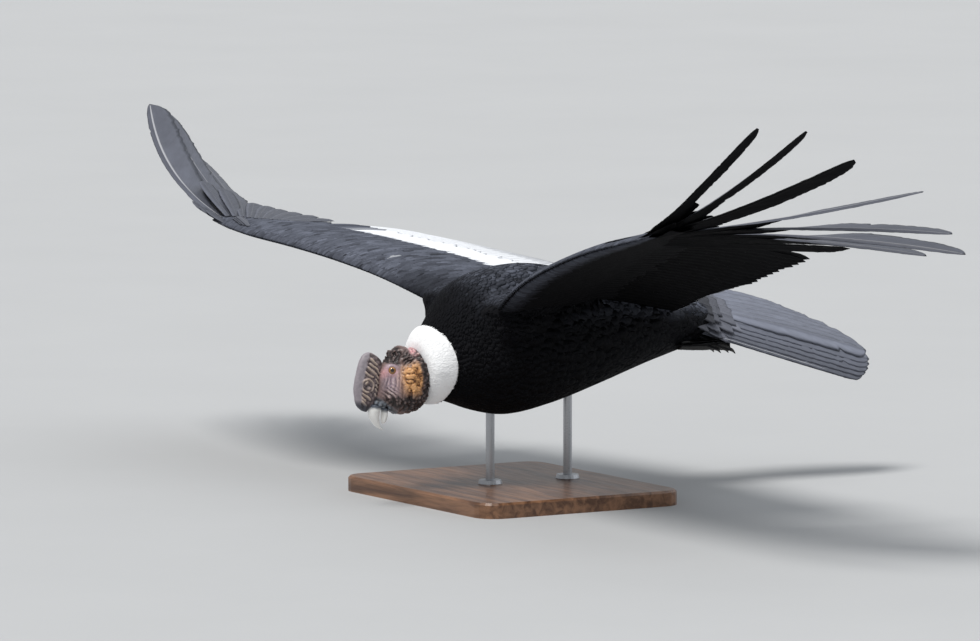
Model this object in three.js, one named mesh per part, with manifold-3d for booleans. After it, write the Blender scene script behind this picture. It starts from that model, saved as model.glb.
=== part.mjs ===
// An Andean condor in level flight on a display stand, life size, in millimetres.
// +Z is up, the bird flies towards -Y, and its left wing reaches out along +X.
// The origin is the middle of the stand's underside.
import * as THREE from "three";
import { mergeVertices } from "three/addons/utils/BufferGeometryUtils.js";
import Module from "manifold-3d";

const wasm = await Module();
wasm.setup();

// Driving dimensions
const GAP = 0.3; // between pieces that touch
const CLEAR = 0.42; // the same gap before the faces of a cut are tidied
const TIDY = 0.05; // how far that tidying may move a face
const WING_TIDY = 0.09;
const SEED = 41;
const BODY_HEIGHT = 270; // middle of the shoulders above the floor
const PITCH = 6; // nose down, degrees
const BANK = 4; // left wing up, degrees
const TAIL_BASE = [0, 392, 12];
const TAIL_DROOP = 21.6; // tail below the body's line, degrees
const TAIL_TWIST = 46; // left edge down, degrees
const TAIL_SPREAD = 7; // half the fan, degrees
const TAIL_LENGTH = 398;
const HEAD_CENTRE = [0, -257.5, 25.9];
const HEAD_DROOP = 66; // bill below the body's line, degrees
const ARM_LENGTH = 500;
const HAND_LENGTH = 200;
const WING_CHORD = 420;
const CAMBER = 0.05; // of the chord
const QUILL_THICK = 1.6;
const VANE_EDGE = 0.6;
const EYE_RADIUS = 8.8;
const BOARD = [520, 420, 28]; // the stand's foot
const ROD_RADIUS = 8;

const rad = THREE.MathUtils.degToRad;
const lerp = THREE.MathUtils.lerp;
const vec = (p) => new THREE.Vector3(...p);

// Small differences between feathers, the same at every run
let seed = SEED;
function vary(amount) {
  seed = (seed * 16807) % 2147483647;
  return amount * ((2 * seed) / 2147483647 - 1);
}

// Materials
const finish = (color, roughness, metalness = 0) =>
  new THREE.MeshStandardMaterial({ color, roughness, metalness });
const plumage = finish(0x17181c, 0.62);
const flight = finish(0x25272e, 0.5);
const down = finish(0xf2f1ee, 0.95);
const bareSkin = finish(0x6a4a3c, 0.6);
const combSkin = finish(0x57494c, 0.55);
const horn = finish(0xe9e4d6, 0.3);
const eyeGloss = finish(0x5a3216, 0.08);
const footSkin = finish(0x4a4644, 0.7);
const claw = finish(0x1c1a19, 0.35);
const wood = finish(0x6b4630, 0.5);
const steel = finish(0x8c9096, 0.3, 0.9);

// A smooth curve through knots of numbers: each knot is [position, value, value...].
function profile(knots) {
  const slope = (i, k) => {
    const a = knots[Math.max(i - 1, 0)];
    const b = knots[Math.min(i + 1, knots.length - 1)];
    return (b[k] - a[k]) / (b[0] - a[0]);
  };
  return (x) => {
    let i = 0;
    while (i < knots.length - 2 && x > knots[i + 1][0]) i++;
    const [a, b] = [knots[i], knots[i + 1]];
    const h = b[0] - a[0];
    const t = THREE.MathUtils.clamp((x - a[0]) / h, 0, 1);
    return a.slice(1).map((_, j) => {
      const k = j + 1;
      const [t2, t3] = [t * t, t * t * t];
      return (
        a[k] * (2 * t3 - 3 * t2 + 1) +
        b[k] * (3 * t2 - 2 * t3) +
        h * (slope(i, k) * (t3 - 2 * t2 + t) + slope(i + 1, k) * (t3 - t2))
      );
    });
  };
}

// A closed surface through rings of points, with a point at the middle of each end.
function loft(rings) {
  const n = rings[0].length;
  const points = rings.flat();
  const middle = (ring) =>
    ring.reduce((s, p) => s.add(p), new THREE.Vector3()).divideScalar(n);
  const faces = [];
  for (let k = 0; k + 1 < rings.length; k++)
    for (let i = 0; i < n; i++) {
      const [a, b] = [k * n + i, k * n + ((i + 1) % n)];
      faces.push(a, b, b + n, a, b + n, a + n);
    }
  const [first, last] = [points.length, points.length + 1];
  points.push(middle(rings[0]), middle(rings.at(-1)));
  const end = (rings.length - 1) * n;
  for (let i = 0; i < n; i++) {
    const j = (i + 1) % n;
    faces.push(first, j, i, last, end + i, end + j);
  }
  return solidFrom(points, faces);
}

// A manifold solid from points and triangles, turned so that its faces point out.
function solidFrom(points, faces) {
  const make = (tris) =>
    new wasm.Manifold(
      new wasm.Mesh({
        numProp: 3,
        vertProperties: Float32Array.from(points.flatMap((p) => p.toArray())),
        triVerts: Uint32Array.from(tris),
      }),
    );
  const solid = make(faces);
  return solid.volume() > 0 ? solid : make(faces.slice().reverse());
}

// A three.js geometry as a manifold solid.
function solidOf(geometry) {
  const bare = geometry.clone();
  bare.deleteAttribute("normal");
  bare.deleteAttribute("uv");
  const merged = mergeVertices(bare, 1e-3);
  return new wasm.Manifold(
    new wasm.Mesh({
      numProp: 3,
      vertProperties: new Float32Array(merged.attributes.position.array),
      triVerts: new Uint32Array(merged.index.array),
    }),
  );
}

const join = (solids) => wasm.Manifold.union(solids);

// The largest closed surface of a solid.
const largest = (solid) =>
  solid.decompose().reduce((a, b) => (b.volume() > a.volume() ? b : a));

// A three.js mesh from a manifold solid.
function meshOf(name, solid, material, tidy = TIDY) {
  const made = largest(solid).simplify(tidy).getMesh();
  const geometry = new THREE.BufferGeometry();
  geometry.setAttribute(
    "position",
    new THREE.BufferAttribute(new Float32Array(made.vertProperties), 3),
  );
  geometry.setIndex(new THREE.BufferAttribute(made.triVerts, 1));
  geometry.computeVertexNormals();
  const mesh = new THREE.Mesh(geometry, material);
  mesh.name = name;
  return mesh;
}

// A feather's shaft, as frames along a path whose heading turns in the basis {out, back, up}.
// sweep is 0 outwards and 90 backwards, and rise is above the basis plane, both in degrees at t.
function shaft(root, basis, length, sweep, rise, stations) {
  const frames = [];
  const point = root.clone();
  const STEPS = 24;
  let next = 0;
  for (let i = 0; i <= STEPS; i++) {
    const t = i / STEPS;
    const [s, r] = [rad(sweep(t)), rad(rise(t))];
    const level = basis.out
      .clone()
      .multiplyScalar(Math.cos(s))
      .addScaledVector(basis.back, Math.sin(s));
    const lead = basis.out
      .clone()
      .multiplyScalar(Math.sin(s))
      .addScaledVector(basis.back, -Math.cos(s));
    const along = level
      .clone()
      .multiplyScalar(Math.cos(r))
      .addScaledVector(basis.up, Math.sin(r));
    const up = level
      .clone()
      .multiplyScalar(-Math.sin(r))
      .addScaledVector(basis.up, Math.cos(r));
    if (next < stations.length && t >= stations[next] - 1e-6) {
      frames.push({ t: stations[next], point: point.clone(), lead, up });
      next++;
    }
    point.addScaledVector(along, length / STEPS);
  }
  return frames;
}

// One vane: a thin strip on both sides of its shaft, split into triangles alike above and below.
// width(t) gives [lead side, trail side] and twist raises the lead side.
// Small feathers have no thicker shaft.
function vane(frames, width, twist, { thick = QUILL_THICK, edge = VANE_EDGE, shafted = true } = {}) {
  const top = [];
  const bottom = [];
  for (const { t, point, lead, up } of frames) {
    const [wLead, wTrail] = width(t);
    const turn = rad(typeof twist === "function" ? twist(t) : twist);
    const side = lead
      .clone()
      .multiplyScalar(Math.cos(turn))
      .addScaledVector(up, Math.sin(turn));
    const normal = up
      .clone()
      .multiplyScalar(Math.cos(turn))
      .addScaledVector(lead, -Math.sin(turn));
    const at = (s, h) =>
      point.clone().addScaledVector(side, s).addScaledVector(normal, h / 2);
    const rim = lerp(edge, VANE_EDGE, t);
    const columns = [[-wTrail, rim]];
    if (shafted) columns.push([0, lerp(thick, VANE_EDGE, t)]);
    columns.push([wLead, rim]);
    top.push(columns.map(([s, h]) => at(s, h)));
    bottom.push(columns.map(([s, h]) => at(s, -h)));
  }
  return plate(top, bottom);
}

// A thin plate between rows of points above and below, split into triangles alike on both faces
function plate(top, bottom) {
  const [n, m] = [top.length, top[0].length];
  const points = [...top.flat(), ...bottom.flat()];
  const T = (k, j) => m * k + j;
  const B = (k, j) => m * (n + k) + j;
  const faces = [];
  const quad = (a, b, c, d) => faces.push(a, b, c, a, c, d);
  for (let k = 0; k + 1 < n; k++) {
    for (let j = 0; j + 1 < m; j++) {
      faces.push(T(k, j), T(k, j + 1), T(k + 1, j + 1), T(k, j), T(k + 1, j + 1), T(k + 1, j));
      faces.push(B(k, j), B(k + 1, j + 1), B(k, j + 1), B(k, j), B(k + 1, j), B(k + 1, j + 1));
    }
    quad(T(k, 0), T(k + 1, 0), B(k + 1, 0), B(k, 0));
    quad(T(k, m - 1), B(k, m - 1), B(k + 1, m - 1), T(k + 1, m - 1));
  }
  for (let j = 0; j + 1 < m; j++) {
    quad(T(0, j), B(0, j), B(0, j + 1), T(0, j + 1));
    quad(T(n - 1, j), T(n - 1, j + 1), B(n - 1, j + 1), B(n - 1, j));
  }
  return solidFrom(points, faces);
}

// A tube through points, with a radius at each.
function tube(points, radii, sides = 8, grow = 0) {
  const path = new THREE.CatmullRomCurve3(points.map(vec));
  const last = points.length - 1;
  const [x, y, z] = path.getTangent(0).toArray().map(Math.abs);
  const side = new THREE.Vector3(x <= y && x <= z ? 1 : 0, y < x && y <= z ? 1 : 0, z < x && z < y ? 1 : 0);
  const rings = points.map((_, i) => {
    const ahead = path.getTangent(i / last);
    side.addScaledVector(ahead, -side.dot(ahead)).normalize();
    const up = ahead.clone().cross(side);
    const shift = i === 0 ? -grow : i === last ? grow : 0;
    const centre = path.getPoint(i / last).addScaledVector(ahead, shift);
    return Array.from({ length: sides }, (_, j) => {
      const a = (2 * Math.PI * j) / sides;
      return centre
        .clone()
        .addScaledVector(side, (radii[i] + grow) * Math.cos(a))
        .addScaledVector(up, (radii[i] + grow) * Math.sin(a));
    });
  });
  return loft(rings);
}

// How far a ring of a round form shifts along the axis and out when its surface grows:
// rows give [position, radius], and the ends move straight out.
function growth(rows, k, grow) {
  if (k === 0) return [-grow, grow];
  if (k === rows.length - 1) return [grow, grow];
  const [before, after] = [rows[k - 1], rows[k + 1]];
  const slope = (after[1] - before[1]) / (after[0] - before[0]);
  const length = Math.hypot(slope, 1);
  return [(-slope * grow) / length, (1.02 * grow) / length];
}

// Rings of a round form along the body: rows of [y, middle z, half width, half height]
function bodyRings(rows, sides, grow = 0) {
  const radii = rows.map(([y, , w, h]) => [y, (w + h) / 2]);
  return rows.map(([y, z, w, h], k) => {
    const [shift, wide] = growth(radii, k, grow);
    return Array.from({ length: sides }, (_, i) => {
      const a = (2 * Math.PI * i) / sides;
      return new THREE.Vector3((w + wide) * Math.cos(a), y + shift, z + (h + wide) * Math.sin(a));
    });
  });
}

// Torso: [y, middle z, half width, half height]
const TORSO = profile([
  [-184, 4, 40, 46],
  [-172, 6, 61, 65],
  [-158, 10, 79, 78],
  [-138, 15, 95, 91],
  [-100, 26, 120, 118],
  [-30, 26, 134, 135],
  [60, 24, 132, 132],
  [160, 16, 116, 107],
  [260, 8, 92, 79],
  [340, 0, 66, 58],
  [392, -6, 48, 44],
  [424, -10, 28, 30],
]);
const TORSO_ENDS = [-184, 424];

function torsoSolid(grow = 0) {
  const STATIONS = 17;
  const rows = [];
  for (let k = 0; k <= STATIONS; k++) {
    const y = lerp(...TORSO_ENDS, 0.5 - 0.5 * Math.cos((Math.PI * k) / STATIONS));
    rows.push([y, ...TORSO(y)]);
  }
  return loft(bodyRings(rows, 20, grow));
}
const torso = torsoSolid();
const torsoGrown = torsoSolid(CLEAR);

// Head: its own directions are fore (to the bill's tip), crown and left.
const FORE = new THREE.Vector3(0, -Math.cos(rad(HEAD_DROOP)), -Math.sin(rad(HEAD_DROOP)));
const CROWN = new THREE.Vector3(0, -Math.sin(rad(HEAD_DROOP)), Math.cos(rad(HEAD_DROOP)));
const headPoint = (fore, crown, left) =>
  vec(HEAD_CENTRE)
    .addScaledVector(FORE, fore)
    .addScaledVector(CROWN, crown)
    .add(new THREE.Vector3(left, 0, 0));

// A loft towards the bill: rows of [fore, middle crown, half crown, half left]
function headLoft(rows, { sides = 18, power = 1, grow = 0 } = {}) {
  const bend = (v) => Math.sign(v) * Math.abs(v) ** power;
  const radii = rows.map(([f, , hu, hl]) => [f, (hu + hl) / 2]);
  return loft(
    rows.map(([f, u, hu, hl], k) => {
      const [shift, wide] = growth(radii, k, grow);
      return Array.from({ length: sides }, (_, i) => {
        const a = (2 * Math.PI * i) / sides;
        return headPoint(
          f + shift,
          u + (hu + wide) * bend(Math.sin(a)),
          (hl + wide) * bend(Math.cos(a)),
        );
      });
    }),
  );
}

// A fold of skin on the head: a bent ridge through [fore, crown, left] points.
const headTube = (points, radii, sides = 5, grow = 0) =>
  tube(
    points.map((p) => headPoint(...p).toArray()),
    radii,
    sides,
    grow,
  );

const SKULL = [
  [-28, -22, 8, 9],
  [-24, -21, 15, 17],
  [-13, -20, 21, 24],
  [3, -17, 24.5, 27.5],
  [20, -12.5, 26.5, 27],
  [40, -10, 26, 23.5],
  [60, -8, 20.5, 19],
  [78, -5, 17, 14],
  [89, -3.5, 13.5, 11],
];
const skull = headLoft(SKULL, { sides: 14 });
const skullGrown = headLoft(SKULL, { sides: 14, grow: CLEAR });

// A point on the skull at fore, an angle from the left (0) to the crown (90), and h above it
function skullPoint(fore, angle, side, h = 0) {
  let k = 0;
  while (k < SKULL.length - 2 && fore > SKULL[k + 1][0]) k++;
  const [a, b] = [SKULL[k], SKULL[k + 1]];
  const t = (fore - a[0]) / (b[0] - a[0]);
  const [, u, hu, hl] = a.map((v, j) => lerp(v, b[j], t));
  return headPoint(
    fore,
    u + (hu + h) * Math.sin(rad(angle)),
    side * (hl + h) * Math.cos(rad(angle)),
  );
}
// A fold of skin through [fore, angle, height] points on the skull
const skullFold = (points, side, radii, grow = 0) =>
  tube(
    points.map(([f, a, h]) => skullPoint(f, a, side, h).toArray()),
    radii,
    4,
    grow,
  );

const EYE = { fore: 22, angle: 28, depth: 4.6 };
const eyePoint = (side, outwards) =>
  skullPoint(EYE.fore, EYE.angle, side, outwards - EYE.depth);
const eyeball = (side, grow = 0) =>
  solidOf(new THREE.SphereGeometry(EYE_RADIUS + grow, 12, 8)).translate(
    eyePoint(side, 0).toArray(),
  );

function lids(side, grow = 0) {
  const ring = new THREE.TorusGeometry(7.7, 2.4 + grow, 4, 12);
  const outwards = eyePoint(side, 1).sub(eyePoint(side, 0)).normalize();
  const across = outwards.clone().cross(FORE);
  const turn = new THREE.Matrix4().makeBasis(FORE.clone(), across, FORE.clone().cross(across));
  return solidOf(ring.applyMatrix4(turn).translate(...eyePoint(side, 5).toArray()));
}

// The ear's rim and the brow over the eye, on one side of the head
function earAndBrow(side, grow = 0) {
  const ear = new THREE.TorusGeometry(4.6, 1.7 + grow, 4, 9);
  const turn = new THREE.Matrix4().makeBasis(
    FORE.clone(),
    CROWN.clone(),
    FORE.clone().cross(CROWN),
  );
  const at = skullPoint(-3, -4, side, -0.4);
  const pieces = [solidOf(ear.applyMatrix4(turn).translate(...at.toArray()))];
  const brow = [];
  for (let k = 0; k <= 3; k++) {
    const a = rad(lerp(150, 25, k / 3));
    brow.push([EYE.fore + 13 * Math.cos(a), EYE.angle + 6 + 22 * Math.sin(a), -0.8]);
  }
  pieces.push(skullFold(brow, side, [1.4, 2.8, 2.8, 1.4], grow));
  return pieces;
}

// The line of the mouth and the nostril, cut into one side
const mouthAndNostril = (side) => [
  skullFold([[92, -26, 0], [74, -28, 0.2], [54, -30, 0.2]], side, [1.1, 1.2, 0.6]),
  skullFold([[73, 42, 0], [78, 40, 0.2], [83, 38, 0]], side, [1, 1.9, 1]),
];

const face = (grow) => [1, -1].flatMap((side) => [lids(side, grow), ...earAndBrow(side, grow)]);
const eyes = (grow) => join([eyeball(1, grow), eyeball(-1, grow)]);
const faceGrown = join([skullGrown, ...face(CLEAR), eyes(CLEAR)]).simplify(TIDY);

const COMB = [
  [-2, 40, 5, 3],
  [2, 35, 15, 6],
  [10, 32, 24, 8],
  [24, 34, 24, 9],
  [40, 33, 24.5, 9.5],
  [56, 31, 26, 9.5],
  [72, 29, 26, 9],
  [84, 29, 21, 8.5],
  [94, 30, 15.5, 7.5],
  [101, 28, 10.5, 6],
  [105, 24.5, 5, 3],
];
const comb = () => headLoft(COMB, { sides: 12, power: 0.75 });

// Coiled folds on the comb's side: arcs round a middle, one inside the next
const COMB_COILS = [
  { fore: 50, crown: 31, radii: [5, 12] },
  { fore: 24, crown: 33, radii: [7] },
  { fore: 77, crown: 30, radii: [4, 10] },
];
function combFolds(side) {
  const folds = [];
  for (const { fore, crown, radii } of COMB_COILS)
    radii.forEach((radius, i) => {
      const from = vary(50);
      const POINTS = 5;
      const points = [];
      for (let k = 0; k < POINTS; k++) {
        const a = rad(from + (220 * k) / (POINTS - 1));
        points.push([
          fore + radius * Math.cos(a),
          crown + 0.85 * radius * Math.sin(a),
          side * (8.9 - 0.4 * i),
        ]);
      }
      folds.push(headTube(points, [0.8, 2.4, 2.6, 2.4, 0.8], 4));
    });
  return folds;
}

const UPPER_BILL = [
  [89.3, 3.6, 12.4, 10.6],
  [98, 4.4, 12.6, 10],
  [107, 2.4, 12, 8.6],
  [114, -1, 10.4, 7],
  [120, -6, 8.6, 5.4],
  [124.5, -12, 7, 3.8],
  [127, -19, 4, 2.2],
  [127.6, -23, 1.2, 0.8],
];
const LOWER_BILL = [
  [89.3, -15.6, 6, 8.6],
  [98, -17.4, 5.4, 7.6],
  [107, -18.8, 4.4, 6],
  [114, -19.4, 2.6, 3.6],
  [117, -19.4, 1, 1.2],
];

// Neck: [y, middle z, half width, half height], from inside the ruff to the throat
const NECK = profile([
  [-282, -31, 10, 20],
  [-276, -29, 24, 36],
  [-262, -25, 35, 47],
  [-242, -23, 42, 53],
  [-220, -19, 44, 54],
  [-198, -12, 41, 49],
  [-178, -3, 38, 42],
  [-158, 2, 36, 38],
]);
const NECK_BARE = [-282, -204]; // the part in folds, in front of the ruff
const NECK_HIDDEN = [-190, -174, -158];
const NECK_FOLDS = 6;
const NECK_FOLD_HEIGHT = 3.8;

// The neck's skin lies in folds that run round it and waver a little
function neckTube(grow = 0) {
  const SIDES = 14;
  const STATIONS = 2 * NECK_FOLDS;
  const rows = [];
  for (let k = 0; k <= STATIONS; k++) {
    const y = lerp(...NECK_BARE, k / STATIONS);
    const [z, w, h] = NECK(y);
    const fold = k % 2 && k > 1 ? NECK_FOLD_HEIGHT : 0;
    rows.push([y, z, w + fold, h + fold]);
  }
  rows.push(...NECK_HIDDEN.map((y) => [y, ...NECK(y)]));
  const rings = bodyRings(rows, SIDES, grow);
  rings.slice(1, STATIONS).forEach((ring) =>
    ring.forEach((p, i) => {
      p.y += 1.6 * Math.sin((6 * Math.PI * i) / SIDES);
    }),
  );
  return loft(rings);
}

// The lappet of wrinkled skin on each side of the neck: a bulb with folds across it
const LAPPET = { at: [38, -227, -10], size: [10, 20, 23], folds: 3 };
function lappet(side) {
  const [x, y, z] = LAPPET.at;
  const [wide, long, high] = LAPPET.size;
  const pieces = [
    solidOf(new THREE.SphereGeometry(1, 10, 6)).scale(LAPPET.size).translate([side * x, y, z]),
  ];
  for (let i = 0; i < LAPPET.folds; i++) {
    const off = lerp(-0.6, 0.6, i / (LAPPET.folds - 1));
    const small = Math.sqrt(1 - off * off);
    const path = [];
    for (let k = 0; k <= 3; k++) {
      const a = rad(lerp(62, -62, k / 3));
      path.push([
        side * (x + wide * small * Math.cos(a)),
        y + off * long + 3 * Math.sin(a),
        z + high * small * Math.sin(a),
      ]);
    }
    pieces.push(tube(path, [1.2, 2.6, 2.6, 1.2], 4));
  }
  return pieces;
}

function neckSolid() {
  const chin = headLoft(LOWER_BILL, { sides: 12, grow: CLEAR });
  const pieces = [neckTube(), ...lappet(1), ...lappet(-1)];
  return join(pieces).subtract(join([torsoGrown, faceGrown, chin]));
}

// Ruff: a core round the neck and rows of flat, tapered locks of down that flare back from it
// over the front of the torso. Each row is a path of [y, radius] from root to tip.
const RUFF_ROWS = [
  [[-200, 43], [-191, 58], [-178, 70]],
  [[-195, 43], [-184, 61], [-170, 76]],
  [[-188, 44], [-177, 64], [-163, 80]],
];
const RUFF_LOCKS = 11;
const RUFF_LEAN = 8; // the locks end further back at the sides than above and below
const LOCK_HALF = [11, 21, 8]; // half width from root to tip
const LOCK_THICK = [3, 2.6, 1]; // in the middle
const LOCK_EDGE = 0.8;
const LOCK_TILE = 1.5; // one side of a lock up and the other down, to lie over its neighbour
const ruffMiddle = (y) => lerp(-7, 4, THREE.MathUtils.clamp((y + 203) / 45, 0, 1));

function lock(path, at, swing) {
  const top = [];
  const bottom = [];
  const n = path.length;
  path.forEach(([y, radius], k) => {
    const [a, b] = [path[Math.max(k - 1, 0)], path[Math.min(k + 1, n - 1)]];
    const length = Math.hypot(b[0] - a[0], b[1] - a[1]);
    const [ny, nr] = [-(b[1] - a[1]) / length, (b[0] - a[0]) / length];
    const point = (j, h) => {
      const angle = at + (swing * k + j * LOCK_HALF[k]) / radius;
      const r = radius + nr * (h + j * LOCK_TILE) - (j ? 0.6 : 0);
      return new THREE.Vector3(
        r * Math.cos(angle),
        y + ny * (h + j * LOCK_TILE) + (RUFF_LEAN * k * Math.cos(2 * at)) / 2,
        ruffMiddle(y) + r * Math.sin(angle),
      );
    };
    const thick = [LOCK_EDGE, LOCK_THICK[k], LOCK_EDGE];
    top.push([-1, 0, 1].map((j) => point(j, thick[j + 1] / 2)));
    bottom.push([-1, 0, 1].map((j) => point(j, -thick[j + 1] / 2)));
  });
  return plate(top, bottom);
}

function ruffSolid() {
  const rows = [-203, -194, -180, -166].map((y, k) => {
    const radius = [45, 49, 52, 54][k];
    return [y, ruffMiddle(y), radius, radius + 1];
  });
  const pieces = [loft(bodyRings(rows, 12))];
  RUFF_ROWS.forEach((path, row) => {
    for (let i = 0; i < RUFF_LOCKS; i++) {
      const at = (2 * Math.PI * (i + 0.5 * (row % 2) + vary(0.08))) / RUFF_LOCKS;
      const longer = 1 + vary(0.08);
      const own = path.map(([y, r]) => [lerp(path[0][0], y, longer), lerp(path[0][1], r, longer)]);
      pieces.push(lock(own, at, vary(1.6)));
    }
  });
  return join(pieces).subtract(join([torsoGrown, neckTube(CLEAR), faceGrown]));
}

// Wings: made for a left wing and mirrored for the right one.
// The leading edge is a chain of [length, sweep, dihedral] from the shoulder.
// Each primary has its sweep and its rise at root and tip, from the leading one inwards.
const ARM_CHAIN = [
  [125, -12, 20],
  [125, -10, 15],
  [125, -9, 12],
  [125, -8, 10],
];
const POSES = {
  left: {
    side: 1,
    shoulder: [130, -95, 93],
    incidence: [6, 6.8, 11.5, 10, 8.2], // nose up at the stations of INCIDENCE_AT, degrees
    hand: [
      [100, -2, 8],
      [100, 0, 8],
    ],
    primaries: [
      { length: 510, sweep: [-13.6, -4.3], rise: [8.7, 19.5] },
      { length: 575, sweep: [-9.6, 1.9], rise: [2.6, 19.3] },
      { length: 615, sweep: [-1.5, 5.3], rise: [0.3, 9.7], turn: 12 },
      { length: 630, sweep: [11, 18.5], rise: [-3, 3.2], turn: -19 },
      { length: 640, sweep: [15.4, 27], rise: [-2.3, -10], turn: -20 },
      { length: 630, sweep: [21.8, 33.2], rise: [-3, -14.2], turn: -26 },
      { length: 535, sweep: [27, 38], rise: [-3.3, -13.8], turn: -20 },
      { length: 400, sweep: [39, 50], rise: [-2, -8] },
      { length: 430, sweep: [52, 62], rise: [-1, -4] },
      { length: 375, sweep: [66, 73], rise: [-2, -4] },
    ],
    notches: [0.14, 0.18, 0.24, 0.34, 0.38, 0.42, 0.46],
  },
  right: {
    side: -1,
    shoulder: [130, -95, 110],
    incidence: [6, 5.7, 9, 10.6, 11],
    hand: [
      [100, 9, 5],
      [100, 14, 5],
    ],
    primaries: [
      { length: 510, sweep: [-2.6, 22.5], rise: [10.5, 26.9], broad: 1.9 },
      { length: 575, sweep: [9.5, 16.5], rise: [11.5, 16], turn: 6 },
      { length: 615, sweep: [19, 18.5], rise: [7, 3], turn: 24 },
      { length: 620, sweep: [24, 26], rise: [0, -7], turn: 14 },
      { length: 630, sweep: [29, 34], rise: [-2, -10] },
      { length: 630, sweep: [33, 40], rise: [-1, -10] },
      { length: 535, sweep: [38, 47], rise: [-3, -11] },
      { length: 420, sweep: [47, 56], rise: [-4, -9] },
      { length: 395, sweep: [57, 65], rise: [-4, -8] },
      { length: 355, sweep: [68, 74], rise: [-5, -9] },
    ],
    notches: [0.23, 0.27, 0.31, 0.36, 0.4, 0.44, 0.48],
  },
};
const INCIDENCE_AT = [-80, 0, 250, 500, 700];

function leadingEdge(pose) {
  const inward = [60, -14, 22]; // towards the body, inside the torso
  const step = ([length, sweep, dihedral]) =>
    new THREE.Vector3(
      length * Math.cos(rad(dihedral)) * Math.cos(rad(sweep)),
      length * Math.cos(rad(dihedral)) * Math.sin(rad(sweep)),
      length * Math.sin(rad(dihedral)),
    );
  const start = vec(pose.shoulder);
  const knots = [
    { s: -inward[0], p: start.clone().sub(step(inward)) },
    { s: 0, p: start },
  ];
  for (const part of [...ARM_CHAIN, ...pose.hand]) {
    const last = knots.at(-1);
    knots.push({ s: last.s + part[0], p: last.p.clone().add(step(part)) });
  }
  const edge = profile(knots.map(({ s, p }) => [s, p.x, p.y, p.z]));
  edge.incidence = profile(INCIDENCE_AT.map((s, i) => [s, pose.incidence[i]]));
  return edge;
}

// The wing's own directions at s along the leading edge, with the leading edge's point.
function wingFrame(edge, s) {
  const p = vec(edge(s));
  const out = vec(edge(s + 5)).sub(vec(edge(s - 5))).normalize();
  const alpha = rad(edge.incidence(s)[0]);
  const back = new THREE.Vector3(0, Math.cos(alpha), -Math.sin(alpha));
  const up = out.clone().cross(back).normalize();
  return { p, out: back.clone().cross(up).normalize(), back, up };
}

const camberAt = (c) => 4 * CAMBER * c * (1 - c / WING_CHORD);
const camberSlope = (c) =>
  THREE.MathUtils.radToDeg(Math.atan(4 * CAMBER * (1 - (2 * c) / WING_CHORD)));

// A point at c behind the leading edge and h above the camber line
const wingPoint = (frame, c, h = 0) =>
  frame.p
    .clone()
    .addScaledVector(frame.back, c)
    .addScaledVector(frame.up, camberAt(c) + h);

// Chord and thickness of the flesh and its small coverts: [s, chord, thickness, rear thickness]
const FLESH = profile([
  [-60, 235, 56, 12],
  [0, 225, 48, 12],
  [150, 205, 38, 11],
  [300, 190, 33, 10],
  [500, 165, 28, 9],
  [600, 130, 22, 8],
  [660, 95, 19, 7],
  [704, 52, 12, 5],
]);
const fleshHalf = (x, thick, rear) =>
  (2.2 * Math.sqrt(x) * (1 - x) ** 1.1 * thick) / 2 + (x * rear) / 2;

function fleshRing(frame, s) {
  const [chord, thick, rear] = FLESH(s);
  const HALF = 6;
  const at = (i, sign) => {
    const x = (1 - Math.cos((Math.PI * i) / HALF)) / 2;
    return wingPoint(frame, x * chord, sign * fleshHalf(x, thick, rear));
  };
  const ring = [];
  for (let i = 0; i <= HALF; i++) ring.push(at(i, 1));
  for (let i = HALF; i >= 1; i--) ring.push(at(i, -1));
  return ring;
}

const fleshSolid = (edge, stations) =>
  loft(stations.map((s) => fleshRing(wingFrame(edge, s), s)));

const COVERT_STATIONS = [0, 0.65, 1];

// A covert on top of the flesh: its root sunk in at x of the flesh's chord
function covert(edge, s, x, length, sweep, width, lift = 1.5) {
  const frame = wingFrame(edge, s);
  const [chord, thick, rear] = FLESH(s);
  const root = wingPoint(frame, x * chord, fleshHalf(x, thick, rear) - 1.6);
  const start = camberSlope(x * chord) * Math.sin(rad(sweep));
  const rise = (t) => start + lift + lerp(0, -3, t);
  const frames = shaft(root, frame, length, () => sweep, rise, COVERT_STATIONS);
  return vane(frames, width, 3, { edge: 0.8, shafted: false });
}

const mirror = (solid, side) => (side < 0 ? solid.scale([-1, 1, 1]) : solid);

const SECONDARIES = 16;
const SECONDARY_STATIONS = [0, 0.45, 0.85, 1];
const secondaryWidth = profile([
  [0, 13, 22],
  [0.45, 21, 36],
  [0.85, 22, 36],
  [1, 7, 10],
]);
const ARM_COVERTS = 10;
const wideCovert = profile([
  [0, 17, 25],
  [0.65, 24, 38],
  [1, 7, 12],
]);
const covertWidth = profile([
  [0, 10, 14],
  [0.65, 13, 21],
  [1, 3, 5],
]);

function armSolid(pose) {
  const edge = leadingEdge(pose);
  const pieces = [
    fleshSolid(edge, [-60, 0, 85, 170, 255, 340, 420, ARM_LENGTH - GAP / 2]),
  ];
  for (let i = 0; i < SECONDARIES; i++) {
    const u = i / (SECONDARIES - 1); // 0 at the body, 1 at the wrist
    const s = lerp(-8, ARM_LENGTH - 27, u);
    const frame = wingFrame(edge, s);
    const c = FLESH(s)[0] - 55;
    const sweep = lerp(99, 83, u);
    const full = WING_CHORD + lerp(4, 30, u) + vary(3);
    const length = (full - c) / Math.sin(rad(sweep));
    const rise = (t) => camberSlope(lerp(c, full, t));
    const frames = shaft(wingPoint(frame, c), frame, length, () => sweep, rise, SECONDARY_STATIONS);
    pieces.push(vane(frames, secondaryWidth, 5));
  }
  for (let i = 0; i < ARM_COVERTS; i++) {
    const u = (i + 0.5) / ARM_COVERTS;
    const s = lerp(-8, ARM_LENGTH - 12, u);
    pieces.push(covert(edge, s, 0.72, 118 + vary(4), lerp(97, 88, u), wideCovert));
  }
  return mirror(join(pieces), pose.side).subtract(torsoGrown);
}

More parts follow.
